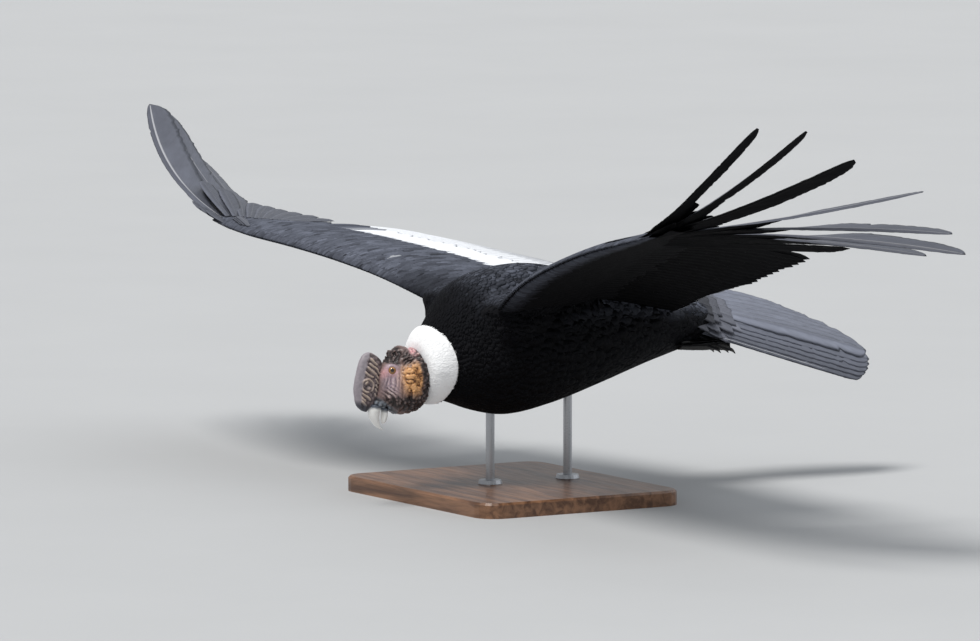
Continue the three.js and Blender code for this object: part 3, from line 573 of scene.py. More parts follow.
LIGHTS = [
    ("key", (0.12, -0.45, 1.0), 24, 2.7, (1.0, 0.985, 0.96)),
    ("sky", (0.2, 0.8, 1.0), 90, 0.9, (0.9, 0.95, 1.0)),
]
WORLD_COLOUR = (0.9, 0.93, 0.97, 1)
WORLD_STRENGTH = 0.45
FLOOR_HALF = 45  # in metres
FLOOR_CELLS = 24


def add_camera():
    scene = bpy.context.scene
    a, e = math.radians(AZIMUTH), math.radians(ELEVATION)
    back = Vector((math.sin(a) * math.cos(e), -math.cos(a) * math.cos(e), math.sin(e)))
    right = Vector((math.cos(a), math.sin(a), 0))
    up = back.cross(right)
    target = Vector((0, 0, BODY_HEIGHT / 1000)) + right * TARGET_SHIFT[0] + up * TARGET_SHIFT[1]
    camera = bpy.data.objects.new("camera", bpy.data.cameras.new("camera"))
    camera.data.sensor_width = 36
    camera.data.lens = FOCAL_PIXELS * 36 / IMAGE_WIDTH
    camera.data.clip_end = 200
    camera.location = target + back * CAMERA_DISTANCE
    camera.rotation_mode = "QUATERNION"
    camera.rotation_quaternion = (-back).to_track_quat("-Z", "Y")
    scene.collection.objects.link(camera)
    scene.camera = camera


def add_lights():
    scene = bpy.context.scene
    for name, come_from, angle, energy, tint in LIGHTS:
        data = bpy.data.lights.new(name, "SUN")
        data.angle = math.radians(angle)
        data.energy = energy
        data.color = tint
        light = bpy.data.objects.new(name, data)
        light.rotation_mode = "QUATERNION"
        light.rotation_quaternion = Vector(come_from).to_track_quat("Z", "Y")
        scene.collection.objects.link(light)
    scene.world = bpy.data.worlds.new("studio")
    scene.world.use_nodes = True
    background = scene.world.node_tree.nodes["Background"]
    background.inputs[0].default_value = WORLD_COLOUR
    background.inputs[1].default_value = WORLD_STRENGTH
    scene.view_settings.view_transform = "Standard"


def add_floor():
    line = np.linspace(-FLOOR_HALF, FLOOR_HALF, FLOOR_CELLS + 1)
    x, y = np.meshgrid(line, line, indexing="ij")
    points = np.stack([x.ravel(), y.ravel(), np.zeros(x.size)], -1)
    paint = Paint("floor_paint", Roughness=0.85, Specular_IOR_Level=0.15)
    base = paint.blend(paint.speckle(1.5, 4.0), (0.43, 0.435, 0.44), (0.465, 0.47, 0.475))
    faces = quads_of(np.arange(x.size).reshape(x.shape))[:, ::-1]
    finish_mesh("floor", points, [faces], [paint.finish(base)])


add_camera()
add_lights()
add_floor()


# Wings: made as left ones, and mirrored for the right

ARM_CHAIN = [(125, -12, 20), (125, -10, 15), (125, -9, 12), (125, -8, 10)]
INCIDENCE_AT = [-80, 0, 250, 500, 700]
# The flesh at s: chord, thickness in front and thickness at the rear
FLESH = profile(
    [
        [-60, 235, 56, 12],
        [0, 225, 48, 12],
        [150, 205, 38, 11],
        [300, 190, 33, 10],
        [500, 165, 28, 9],
        [600, 130, 22, 8],
        [660, 95, 19, 7],
        [704, 52, 12, 5],
    ]
)
# Each primary: length, sweep from root to tip, rise from root to tip, turn, breadth
POSES = {
    "left": {
        "shoulder": [130, -95, 93],
        "incidence": [6, 6.8, 11.5, 10, 8.2],
        "hand": [(100, -2, 8), (100, 0, 8)],
        "primaries": [
            (510, (-13.6, -4.3), (8.7, 19.5), -13, 1),
            (575, (-9.6, 1.9), (2.6, 19.3), -13, 1),
            (615, (-1.5, 5.3), (0.3, 9.7), 12, 1),
            (630, (11, 18.5), (-3, 3.2), -19, 1),
            (640, (15.4, 27), (-2.3, -10), -20, 1),
            (630, (21.8, 33.2), (-3, -14.2), -26, 1),
            (535, (27, 38), (-3.3, -13.8), -20, 1),
            (400, (39, 50), (-2, -8), -13, 1),
            (430, (52, 62), (-1, -4), -13, 1),
            (375, (66, 73), (-2, -4), -13, 1),
        ],
        "notches": [0.14, 0.18, 0.24, 0.34, 0.38, 0.42, 0.46],
        "edge_turn": 14,
    },
    "right": {
        "shoulder": [130, -95, 110],
        "incidence": [6, 5.7, 9, 10.6, 11],
        "hand": [(100, 9, 5), (100, 14, 5)],
        "primaries": [
            (510, (-2.6, 22.5), (10.5, 26.9), -13, 1.9),
            (575, (9.5, 16.5), (11.5, 16), 6, 1),
            (615, (19, 18.5), (7, 3), 24, 1),
            (620, (24, 26), (0, -7), 14, 1),
            (630, (29, 34), (-2, -10), -13, 1),
            (630, (33, 40), (-1, -10), -13, 1),
            (535, (38, 47), (-3, -12), -13, 1),
            (420, (47, 56), (-5, -10.5), -13, 1),
            (395, (57, 65), (-6, -10.5), -13, 1),
            (355, (68, 74), (-7.5, -12), -13, 1),
        ],
        "notches": [0.23, 0.27, 0.31, 0.36, 0.4, 0.44, 0.48],
        "edge_turn": 0,
    },
}
FINGERS = 7
FINGER_TRAIL = [25, 29, 32, 34, 36, 36, 34]
PRIMARY_QUILL = (1, 0.7, 0.5, 0.5, 0.5, 0.5, 0.3, 0.15, 0.15, 0.15)
SECONDARIES = 25
PRIMARY_COVERTS = 9
ALULA = 3
EDGE_COVERTS = 3
GREATER_COVERTS = 27

# Widths (lead, trail) along feathers
INNER_WIDTH = profile([[0, 8, 12], [0.3, 15, 38], [0.85, 15, 36], [0.97, 9, 20], [1, 1, 1.5]])
SECONDARY_WIDTH = profile(
    [[0, 12, 20], [0.45, 18, 32], [0.85, 19, 33], [0.96, 11, 20], [1, 1, 1.5]]
)
COVERT_WIDTH = profile([[0, 8, 11], [0.5, 13, 19], [0.85, 12, 17], [0.97, 6, 9], [1, 0.8, 1]])
ALULA_WIDTH = profile([[0, 6, 9], [0.5, 7, 15], [0.88, 6, 11], [1, 0.8, 1]])
EDGE_WIDTH = profile([[0, 5, 9], [0.5, 9, 14], [0.85, 6, 10], [1, 0.8, 1]])
# Where the white of the arm begins behind the leading edge, by s
WHITE_FROM = profile([[-60, 150], [150, 150], [300, 165], [450, 195], [550, 226], [610, 252]])
# How dark the vane is across a secondary, at its rear
LEAD_STREAK = np.array([0, 0, 0, 0, 0, 0, 0, 0.1, 0.6, 1.0])
# Small coverts: rows on either face by x of the flesh's chord, and those that go round the edge
COVERT_ROWS = [0.63, 0.55, 0.48, 0.41, 0.345, 0.285, 0.23, 0.18, 0.138, 0.1, 0.068, 0.042, 0.022,
               0.009, 0.001]
# The edge rows' tones fade from the top's to near black underneath: a painted shade gradient round
# the leading edge.
EDGE_ROWS = [(-0.005, 1, 0.33), (-0.014, 1, 0.28), (0.018, -1, 0.22), (0.036, -1, 0.17),
             (0.058, -1, 0.11), (0.082, -1, 0.06)]


def camber_at(c):
    return 4 * CAMBER * c * (1 - c / WING_CHORD)


def camber_slope(c):
    return np.degrees(np.arctan(4 * CAMBER * (1 - 2 * c / WING_CHORD)))


def flesh_half(x, thick, rear):
    return (2.2 * np.sqrt(x) * (1 - x) ** 1.1 * thick) / 2 + (x * rear) / 2


def arc_table():
    """Where x of the flesh's chord lies along its surface, in chords."""
    x = (1 - np.cos(np.linspace(0, math.pi, 161))) / 2
    h = flesh_half(x, 0.22, 0.055)
    arc = np.concatenate([[0], np.cumsum(np.hypot(np.diff(x), np.diff(h)))])
    return np.concatenate([np.column_stack([x, arc]), [[3, arc[-1] + 2]]])


ARC_X, ARC_AT = arc_table().T


class Wing:
    """The wing's surface, in its own s along the leading edge and c behind it."""

    def __init__(self, name):
        self.name, self.pose = name, POSES[name]
        self.mirrored = name == "right"
        self.nodes = [f"wing_{name}_arm", f"wing_{name}_hand"]
        start = np.array(self.pose["shoulder"], float)
        knots = [(-60, *(start - self.step(60, -14, 22))), (0, *start)]
        for length, sweep, dihedral in ARM_CHAIN + self.pose["hand"]:
            at = np.array(knots[-1][1:]) + self.step(length, sweep, dihedral)
            knots.append((knots[-1][0] + length, *at))
        self.edge = profile(knots)
        self.incidence = profile(list(zip(INCIDENCE_AT, self.pose["incidence"])))

    @staticmethod
    def step(length, sweep, dihedral):
        d, w = math.radians(dihedral), math.radians(sweep)
        return length * np.array([math.cos(d) * math.cos(w), math.cos(d) * math.sin(w), math.sin(d)])

    def frame(self, s):
        """At s: the leading edge's point, and the directions out, back and up."""
        s = np.atleast_1d(np.asarray(s, float))
        inside = np.clip(s, -54, WING_LENGTH - 6)
        out = unit(self.edge(inside + 5) - self.edge(inside - 5))
        alpha = np.radians(self.incidence(s)[:, 0])
        back = np.stack([0 * alpha, np.cos(alpha), -np.sin(alpha)], -1)
        up = unit(np.cross(out, back))
        beyond = s - np.clip(s, -60, WING_LENGTH)
        return self.edge(s) + out * beyond[:, None], np.cross(back, up), back, up

    def point(self, s, c, h=0.0):
        p, _, back, up = self.frame(s)
        c, h = np.atleast_1d(c)[:, None], np.atleast_1d(h)[:, None]
        return p + back * c + up * (camber_at(c) + h)

    def basis(self, s):
        return [v[0] for v in self.frame(s)[1:]]

    def root(self, s, x, sunk):
        """A feather's root, sunk into the flesh's upper side at x of its chord."""
        chord, thick, rear = FLESH(s)[0]
        return self.point(s, x * chord, flesh_half(x, thick, rear) - sunk)[0]

    def flesh(self, s, x, sign, grow=0.0):
        """A point on the flesh's upper (1) or lower (-1) side, at x of its chord."""
        chord, thick, rear = FLESH(s).T
        half = np.maximum(flesh_half(x, thick, rear) + grow, 0.4)
        return self.point(s, x * chord, sign * half)

    def coat(self, s, d, sign, h=0.0):
        """A point on the skin at d from the leading edge over the surface, and on beyond the
        flesh over the flight feathers, h above it. A negative d is round the edge."""

        def at(s, d):
            chord, thick, rear = FLESH(s).T
            x = np.interp(np.abs(d) / chord, ARC_AT, ARC_X)
            half = flesh_half(np.minimum(x, 1), thick, rear) - 1.5
            return self.point(s, x * chord, sign * np.sign(d) * half)

        rear = unit(at(s, d + 2) - at(s, d - 2))
        along = unit(at(s + 3, d) - at(s - 3, d))
        normal = unit(np.cross(along, rear)) * sign
        return at(s, d) + normal * np.reshape(h, (-1, 1))


def finger_width(i, notch, broad):
    """Widths of a leading primary, which narrows behind its notch."""
    trail = broad * FINGER_TRAIL[i]
    return profile(
        [
            [0, 4 if i else 9, 14],
            [notch - 0.04, 12, max(36, trail - 1)],
            [notch + 0.07, 8.5, trail],
            [0.72, 9, trail - 1],
            [0.92, 8, 0.7 * trail],
            [0.985, 4.5, 0.34 * trail],
            [1, 0.8, 1.2],
        ]
    )


def white_panel(s, c):
    """How white the wing's upper side is: the rear part of the arm."""
    start = WHITE_FROM(s)[:, 0]
    return ramp(c, start - 5, start + 5) * (1 - ramp(s, 560, 610))


def add_primaries(wing, flock, rng):
    t = np.linspace(0, 1, 73) ** 0.96
    for i, (length, sweep, rise, turn, broad) in enumerate(wing.pose["primaries"]):
        u = i / 9
        s = lerp(WING_LENGTH - 12, ARM_LENGTH + 12, u)
        root = wing.point(s, lerp(16, 101, u**0.6))[0]
        twist, width = 6, INNER_WIDTH
        if i < FINGERS:
            notch = wing.pose["notches"][i]
            twist = lerp(6, turn, ramp(t, notch - 0.1, notch + 0.25))
            width = finger_width(i, notch, broad)
        tone = 0.42 - 0.012 * i - 0.04 * ramp(t, 0.5, 1)
        add_feather(flock, root, wing.basis(s), length, sweep, rise, t, width, twist, rng,
                    tone=tone[:, None], under=0.03, rachis=2.3, quill=PRIMARY_QUILL[i])


def add_secondaries(wing, flock, rng):
    t = np.linspace(0, 1, 41) ** 0.95
    for i in range(SECONDARIES):
        u = i / (SECONDARIES - 1)
        s = lerp(-8, ARM_LENGTH - 27, u)
        start = FLESH(s)[0, 0] - 55
        end = WING_CHORD + lerp(4, 30, u) + rng.uniform(-3, 3)
        sweep = lerp(99, 83, u)
        length = (end - start) / math.sin(math.radians(sweep))
        rise = lambda q: camber_slope(lerp(start, end, q))
        c = lerp(start, end, t)
        streak = (c > 330)[:, None] * LEAD_STREAK
        white = white_panel(np.full(len(t), s), c)[:, None] * (1 - 0.75 * streak)
        add_feather(flock, wing.point(s, start)[0], wing.basis(s), length, sweep, rise, t,
                    SECONDARY_WIDTH, 5, rng, under=0.02, rachis=1.8, white=white, quill=0.2)


def add_primary_coverts(wing, flock, rng):
    """The long coverts over the roots of the primaries, curved as these are."""
    t = np.linspace(0, 1, 29)
    primaries = wing.pose["primaries"]
    for i in range(PRIMARY_COVERTS):
        v = (i + 0.5) / PRIMARY_COVERTS
        s = lerp(WING_LENGTH - 14, ARM_LENGTH + 12, v)
        x = lerp(0.3, 0.62, v)
        sweep, rise = (np.mean([primaries[i][k], primaries[i + 1][k]], 0) for k in (1, 2))
        reach = lerp(0.34, 0.42, v)
        heading = (sweep[0] + 5, lerp(sweep[0], sweep[1], reach) + 2)
        slope = camber_slope(x * FLESH(s)[0, 0]) * math.sin(math.radians(heading[0]))
        lie = slope + 3 - 7 * v**2
        climb = (max(rise[0] + 2.5, lie), max(lerp(rise[0], rise[1], reach) + 1, lie - 4))
        add_feather(flock, wing.root(s, x, 1.4), wing.basis(s), lerp(185, 125, v), heading, climb,
                    t, COVERT_WIDTH, 4, rng, tone=0.33, under=0.04, rachis=0.9, splits=0,
                    pale_edge=0.45, quill=0.1)


def add_alula(wing, flock, rng):
    sweep = wing.pose["hand"][0][1] + 9
    for i in range(ALULA):
        s = 530 + 16 * i
        rise = camber_slope(0.12 * FLESH(s)[0, 0]) * math.sin(math.radians(sweep))
        add_feather(flock, wing.root(s, 0.12, 1.6), wing.basis(s), 125 - 18 * i, sweep,
                    (rise + 1, rise - 2), np.linspace(0, 1, 25), ALULA_WIDTH, 3, rng, tone=0.36,
                    rachis=1.2)


def add_edge_coverts(wing, flock, rng):
    """Short coverts where the first primary leaves the hand."""
    _, sweep, rise, *_ = wing.pose["primaries"][0]
    turn = wing.pose["edge_turn"]
    for i in range(EDGE_COVERTS):
        s = WING_LENGTH - 16 - 20 * i
        root = wing.point(s, 7 + 2 * i, 2.0 * (i == 0))[0]
        add_feather(flock, root, wing.basis(s), 104 - 12 * i,
                    (sweep[0] + turn - 3, sweep[0] + turn + 2),
                    (rise[0] - 2 - turn / 2, rise[0] + 5), np.linspace(0, 1, 25), EDGE_WIDTH, 4,
                    rng, under=0.04, rachis=1.0, splits=0, pale_edge=0.2, quill=0.0)


def make_flight(wing):
    rng = np.random.default_rng(11 + wing.mirrored)
    strips = 10 + SECONDARIES + PRIMARY_COVERTS + ALULA + EDGE_COVERTS
    flock = Flock(strips, wing.mirrored)
    add_primaries(wing, flock, rng)
    add_secondaries(wing, flock, rng)
    add_primary_coverts(wing, flock, rng)
    add_alula(wing, flock, rng)
    add_edge_coverts(wing, flock, rng)
    flock.make(f"wing_{wing.name}_flight", "flight_feathers", wing.nodes,
               [flight_feather, shaded_under_feather])


def wing_uv(s, x, sign):
    """The unwrap of a wing's flesh: the upper side on the right and the lower on the left."""
    return np.stack([0.5 + sign * (0.02 + 0.46 * x), (s + 80) / 830], -1)


def covert_row(flock, wing, rng, s, x, sign, length, half, sweep, tone, lift=0.06, white=0.0,
               rows=8, columns=4):
    """A row of coverts that lie along the wing's skin, rooted at x of the flesh's chord."""
    n = len(s)
    vary = rng.standard_normal((4, n))
    length = length * (1 + 0.05 * vary[0])
    half = half * (1 + 0.05 * vary[1])
    angle = np.radians(sweep + 2.5 * vary[2])[:, None]
    x = np.broadcast_to(x, n)
    d = FLESH(s)[:, 0] * np.sign(x) * np.interp(np.abs(x), ARC_X, ARC_AT)
    template = leaf_template(rows, columns)
    side, run, height = leaf_shape(template, length, half, lift, 0.7, 0.12, 0.03, rng)
    height = height + 0.03 * side * sign
    s_at = s[:, None] + run * np.cos(angle) + side * np.sin(angle)
    d_at = d[:, None] + run * np.sin(angle) - side * np.cos(angle)
    points = wing.coat(s_at.ravel(), d_at.ravel(), sign, height.ravel())
    add_leaves(flock, template, points.reshape(*s_at.shape, 3), wing_uv(s, x, sign),
               tone * (1 + 0.1 * vary[3]), 0.3, rng, white=white, turned=sign < 0)


def add_greater_coverts(wing, flock, rng, sign):
    """The largest coverts: along the arm, and under the hand too."""
    top = sign > 0
    s = np.linspace(-2, ARM_LENGTH - 12, GREATER_COVERTS)
    u = s / ARM_LENGTH
    reach = lerp(118, 120, u) if top else lerp(95, 100, u)
    white = white_panel(s, 0.72 * FLESH(s)[:, 0] + 0.45 * reach + 8) if top else 0.0
    # Their tone is lighter on top, partly a painted skylight sheen, and near black underneath,
    # painted shade.
    covert_row(flock, wing, rng, s, 0.72, sign, reach, 19, lerp(97, 88, u),
               0.36 if top else 0.03, white=white, rows=12, columns=6)
    if not top:
        sweeps = np.array([primary[1][0] for primary in wing.pose["primaries"]])
        v = (np.arange(9) + 0.5) / 9
        covert_row(flock, wing, rng, lerp(WING_LENGTH - 20, ARM_LENGTH + 12, v),
                   lerp(0.4, 0.7, v), sign, lerp(165, 120, v) * 0.8, 16.5,
                   (sweeps[:-1] + sweeps[1:]) / 2 + 4, 0.03, lift=0.08, rows=14, columns=6)


def add_small_coverts(wing, flock, rng, sign):
    """Median and lesser coverts, smaller and closer together towards the leading edge."""
    top = sign > 0
    # Rows on top get a lighter tone, partly a painted skylight sheen; rows underneath stay near
    # black, painted shade.
    rows = [(x, sign, 0.36 if top else 0.02) for x in COVERT_ROWS if top or x > 0.08]
    for x, facing, shade in rows + EDGE_ROWS * top:
        inward = np.clip((0.63 - x) / 0.63, 0, 1) ** 1.6
        gap = lerp(17, 8.5, inward)
        count = int((WING_LENGTH + 26) / gap)
        s = np.linspace(-30, WING_LENGTH - 4, count) + gap * rng.uniform(0, 0.5)
        s = s + rng.uniform(-0.18, 0.18, count) * gap
        size = lerp(88, 22, inward) * (1 - 0.42 * ramp(s, 520, 700))
        sweep = lerp(96, 84, np.clip(s / ARM_LENGTH, 0, 1)) - 52 * ramp(s, 500, 700)
        xs = x * (1 + rng.uniform(-0.05, 0.05, count))
        tone = shade * (1 + 0.2 * rng.standard_normal(count))
        # Painted shade: rows near the leading edge darken towards the wing's root, where it meets
        # the body.
        tone = tone * lerp(1, 0.25 + 0.75 * ramp(s, 0, 150), ramp(x, 0.3, 0.05))
        fleck = 0.35 * (rng.random(count) < 0.005) if top and 0.1 < x < 0.3 else 0.0
        covert_row(flock, wing, rng, s, xs, facing, size, 0.3 * size, sweep, tone,
                   lift=lerp(0.05, 0.08, inward), rows=6, white=fleck)


def make_coverts(wing):
    for sign, name, material in ((1, "upper", body_feather), (-1, "under", shaded_under_feather)):
        rng = np.random.default_rng(21 + 2 * sign + wing.mirrored)
        flock = Flock(mirrored=wing.mirrored)
        add_greater_coverts(wing, flock, rng, sign)
        add_small_coverts(wing, flock, rng, sign)
        flock.make(f"wing_{wing.name}_coverts_{name}", "black_plumage", wing.nodes, [material])


wings = [Wing("left"), Wing("right")]
for wing in wings:
    make_flight(wing)
    make_coverts(wing)


# Tail

TAIL_OUT, TAIL_BACK, TAIL_UP = (turn_x(-TAIL_DROOP) @ turn_y(TAIL_TWIST)).T
TAIL_BASIS = [TAIL_OUT, TAIL_BACK, TAIL_UP]
RECTRIX_WIDTH = profile([[0, 8, 9], [0.35, 17, 25], [0.9, 18, 27], [0.97, 12, 19], [1, 1.5, 2]])
OUTER_RECTRIX_WIDTH = profile([[0, 4, 14], [0.3, 6, 24], [0.88, 7, 26], [0.97, 5, 14], [1, 1, 1]])
TAIL_COVERT_WIDTH = profile(
    [[0, 10, 10], [0.35, 20, 20], [0.75, 24, 24], [0.92, 18, 18], [1, 2, 2]]
)
# Tones from the middle outwards, on the far side and on the near one: lighter on the far side, which
# faces the sky, and darker towards the near outer edge, as painted light and shade
FAR_TONES = [0.62, 0.66, 0.7, 0.74, 0.76, 0.78]
NEAR_TONES = [0.58, 0.54, 0.5, 0.44, 0.38, 0.3]
# Rows of coverts: how far back, length, how high or low, tone
UPPER_TAIL_ROWS = [(24, 92, 6, 0.56), (2, 84, 10, 0.5), (-18, 76, 15, 0.34), (-36, 70, 20, 0.16)]
UNDER_TAIL_ROWS = [(-16, 94, -21), (-32, 98, -28)]


def tail_point(out, back, up):
    out, back, up = (np.atleast_1d(v)[:, None] for v in (out, back, up))
    return TAIL_BASE + TAIL_OUT * out + TAIL_BACK * back + TAIL_UP * up


def add_rectrix(flock, i, far, rng):
    """One of a side's six tail feathers, from the middle outwards."""
    side = -1 if far else 1
    u = (i + 0.5) / 6
    root = tail_point(side * (5 + (60 if far else 50) * u), 0, 2 - 1.25 * i + 0.6 * far)[0]
    length = TAIL_LENGTH * (1 - (0.46 if far else 0.12) * u * u)
    sweep = lambda t: 90 - lerp(TAIL_SPREAD, -5 if far else -1, t) * u
    t = np.linspace(0, 1, 49) ** 0.95
    shade = (FAR_TONES if far else NEAR_TONES)[i] + rng.uniform(-0.03, 0.03)
    # Painted sheen: a light streak along each tail feather's trailing vane.
    streaks = 0.35 * shade * ramp(np.abs(np.linspace(-1, 1, 10) + 0.45), 0.4, 0.0)[None]
    tone = shade * lerp(1.1, 0.9, t)[:, None] + streaks
    outermost = i == 5 and not far
    width = OUTER_RECTRIX_WIDTH if outermost else RECTRIX_WIDTH
    add_feather(flock, root, [TAIL_OUT * side, TAIL_BACK, TAIL_UP], length, sweep, (3, -3), t,
                width, -3, rng, turned=far, tone=tone, under=0.06,
                rachis=2.3 if outermost else 1.2, arch=0.5, thick=0.35,
                quill=2.2 if outermost else 0.12)


def make_tail():
    rng = np.random.default_rng(31)
    flock = Flock(12)
    for far in (True, False):
        for i in range(6):
            add_rectrix(flock, i, far, rng)
    flock.make("tail_feathers", "flight_feathers", ["tail"], [flight_feather, shaded_under_feather])


def add_tail_coverts(flock, t, rng):
    """Rounded coverts over the tail's root, and dark ones under it round the feet."""
    for row, (back, length, up, tone) in enumerate(UPPER_TAIL_ROWS):
        for i in range(5):
            u = lerp(-1, 0.8, (i + 0.5 * (row % 2)) / 4.5)
            root = tail_point(u * 44, back - 12 * u * u, up - 11 * u * u + 0.9 * (i % 2))[0]
            long = length * rng.uniform(0.88, 1.1)
            shade = tone * rng.uniform(0.85, 1.2)
            add_feather(flock, root, TAIL_BASIS, long, 90 - 7 * u, (3, -8), t, TAIL_COVERT_WIDTH,
                        -5 * u, rng, tone=shade, under=0.03, rachis=0.4, arch=1.0, thick=0.3,
                        splits=0, quill=0.0)
    for back, length, up in UNDER_TAIL_ROWS:
        for u in np.linspace(-1, 1, 11):
            root = tail_point(u * 42, back, up + 13 * u * u)[0]
            long = length * rng.uniform(0.9, 1.1)
            add_feather(flock, root, TAIL_BASIS, long, 90 - 5 * u, (-8, 4), t, TAIL_COVERT_WIDTH,
                        6 * u, rng, tone=0.03, under=0.0, rachis=0.6, splits=0, quill=0.0)


def add_leg_feathers(flock, t, rng):
    """Two layers of long feathers beside the left leg."""
    for _ in range(2):
        for i in range(7):
            root = np.array([20 + 5 * i, 318 + 9 * (i % 3), -34 - 3 * (i % 2) - 1.5 * i])
            add_feather(flock, root, [LEFT, AFT, UP], 100 - 4 * i, 91, (-13, -2), t,
                        TAIL_COVERT_WIDTH, 12, rng, tone=0.02, under=0.0, rachis=0.4, splits=0,
                        quill=0.0)


def make_tail_coverts():
    rng = np.random.default_rng(33)
    flock = Flock(5 * len(UPPER_TAIL_ROWS) + 11 * len(UNDER_TAIL_ROWS) + 14)
    t = np.linspace(0, 1, 21)
    add_tail_coverts(flock, t, rng)
    add_leg_feathers(flock, t, rng)
    flock.make("tail_coverts", "black_plumage", ["tail"], [rump_feather, shaded_under_feather])


make_tail()
make_tail_coverts()


# Solid forms, and skins made from them


def closed_loft(rings):
    """Points and faces through rings of points, (rings, points, 3), with closed ends."""
    rings = np.asarray(rings, float)
    rows, n = rings.shape[:2]
    points = np.concatenate([rings.reshape(-1, 3), [rings[0].mean(0)], [rings[-1].mean(0)]])
    sheet = np.arange(rows * n).reshape(rows, n)
    sheet = np.column_stack([sheet, sheet[:, 0]])
    start = np.stack([np.full(n, rows * n), sheet[0, 1:], sheet[0, :-1]], -1)
    end = np.stack([np.full(n, rows * n + 1), sheet[-1, :-1], sheet[-1, 1:]], -1)
    return points, [quads_of(sheet), np.concatenate([start, end])]


def ellipse_rings(centres, wide, high, out, up, sides=32, power=1.0):
    """Rings of half widths along out and half heights along up round centres."""
    a = circle(sides)
    c, s = np.cos(a), np.sin(a)
    c, s = np.sign(c) * np.abs(c) ** power, np.sign(s) * np.abs(s) ** power
    wide, high = np.reshape(wide, (-1, 1, 1)), np.reshape(high, (-1, 1, 1))
    return (
        np.asarray(centres)[:, None]
        + wide * c[None, :, None] * np.reshape(out, (-1, 1, 3))
        + high * s[None, :, None] * np.reshape(up, (-1, 1, 3))
    )


def ball(centre, radii, rows=18):
    a = np.linspace(0.02, math.pi - 0.02, rows)
    centres = np.array(centre) + np.outer(np.cos(a), [0, radii[1], 0])
    rings = ellipse_rings(centres, radii[0] * np.sin(a), radii[2] * np.sin(a), LEFT, UP, 24)
    return closed_loft(rings[::-1])


def tube(points, radii, count=14, sides=10):
    """A closed tube through points, with a radius at each."""
    path = smooth_path(np.column_stack([points, radii]), count)
    line, wide = path[:, :3], path[:, 3]
    ahead = unit(np.gradient(line, axis=0))
    side = np.eye(3)[np.argmin(np.abs(ahead[0]))]
    sides_at = []
    for direction in ahead:
        side = unit(side - direction * (side @ direction))
        sides_at.append(side)
    sides_at = np.array(sides_at)
    rings = ellipse_rings(line, wide, wide, sides_at, np.cross(ahead, sides_at), sides)
    return closed_loft(rings)


def ring_round(centre, axis, radius, thick, count=40, sides=10):
    """A closed ring, as points and faces."""
    axis = unit(axis)
    first = unit(np.cross(axis, CROWN))
    a, b = circle(count), circle(sides)
    outward = np.outer(np.cos(a), first) + np.outer(np.sin(a), np.cross(axis, first))
    points = (
        centre
        + outward[:, None] * (radius + thick * np.cos(b))[None, :, None]
        + axis * (thick * np.sin(b))[None, :, None]
    )
    sheet = np.pad(np.arange(count * sides).reshape(count, sides), (0, 1), mode="wrap")
    return points.reshape(-1, 3), [np.roll(quads_of(sheet)[:, ::-1], 1, axis=1)]


def joined(parts):
    """Points and faces of several parts as one."""
    starts = np.cumsum([0] + [len(points) for points, _ in parts])
    faces = [kind + start for (_, kinds), start in zip(parts, starts) for kind in kinds]
    return np.concatenate([points for points, _ in parts]), faces


def fuse(parts, voxel, smoothing=0):
    """The parts as one closed surface: its points, quads and point normals."""
    piece = finish_mesh("temporary", *joined(parts))
    grown = piece.modifiers.new("fuse", "REMESH")
    grown.mode = "VOXEL"
    grown.voxel_size = voxel
    if smoothing:
        soft = piece.modifiers.new("soft", "SMOOTH")
        soft.factor = 0.5
        soft.iterations = smoothing
    graph = bpy.context.evaluated_depsgraph_get()
    mesh = bpy.data.meshes.new_from_object(piece.evaluated_get(graph))
    points, normals = np.zeros((2, len(mesh.vertices) * 3), np.float32)
    mesh.vertices.foreach_get("co", points)
    mesh.vertex_normals.foreach_get("vector", normals)
    corners = np.zeros(len(mesh.loops), np.int32)
    mesh.loops.foreach_get("vertex_index", corners)
    old = piece.data
    bpy.data.objects.remove(piece)
    for spent in (old, mesh):
        bpy.data.meshes.remove(spent)
    points, normals = (v.reshape(-1, 3).astype(float) for v in (points, normals))
    return points, corners.reshape(-1, 4).astype(np.int64), normals


class Surface:
    """A skin that feathers are laid on."""

    def __init__(self, points, quads, normals):
        self.points, self.quads, self.normals = points, quads, normals
        self.tree = BVHTree.FromPolygons(points.tolist(), quads.tolist())

    def drape(self, points, fallback):
        """The nearest places on the skin and the normals there."""
        flat = points.reshape(-1, 3)
        spots, facing = np.empty_like(flat), np.empty_like(flat)
        for i, point in enumerate(flat.tolist()):
            spot, _, index, _ = self.tree.find_nearest(point)
            spots[i] = spot
            facing[i] = self.normals[self.quads[index]].mean(0)
        shape = points.shape
        return spots.reshape(shape), unit(facing.reshape(shape) + 0.6 * fallback)

    def scatter(self, spacing, keep, rng, tries=5.0):
        """Places that keep spacing(place) apart where keep(place), with their normals."""
        corners = self.points[self.quads]
        d1, d2 = corners[:, 2] - corners[:, 0], corners[:, 3] - corners[:, 1]
        area = 0.5 * np.linalg.norm(np.cross(d1, d2), axis=1)
        middle = corners.mean(1)
        weight = area / spacing(middle) ** 2 * keep(middle)
        total = int(weight.sum() * tries)
        face = rng.choice(len(self.quads), total, p=weight / weight.sum())
        u, v = rng.random((2, total, 1))
        share = [(1 - u) * (1 - v), u * (1 - v), u * v, (1 - u) * v]
        spots = sum(share[k] * corners[face, k] for k in range(4))
        facing = unit(sum(share[k] * self.normals[self.quads[face, k]] for k in range(4)))
        apart = first_apart(spots, spacing(spots))
        return spots[apart], facing[apart]


def first_apart(spots, reach):
    """Which spots to keep, so that none is within reach of an earlier kept one."""
    tree = KDTree(len(spots))
    for i, spot in enumerate(spots):
        tree.insert(spot, i)
    tree.balance()
    alive = np.ones(len(spots), bool)
    for i, spot in enumerate(spots):
        if alive[i]:
            for _, j, _ in tree.find_range(spot, reach[i]):
                if j > i:
                    alive[j] = False
    return alive


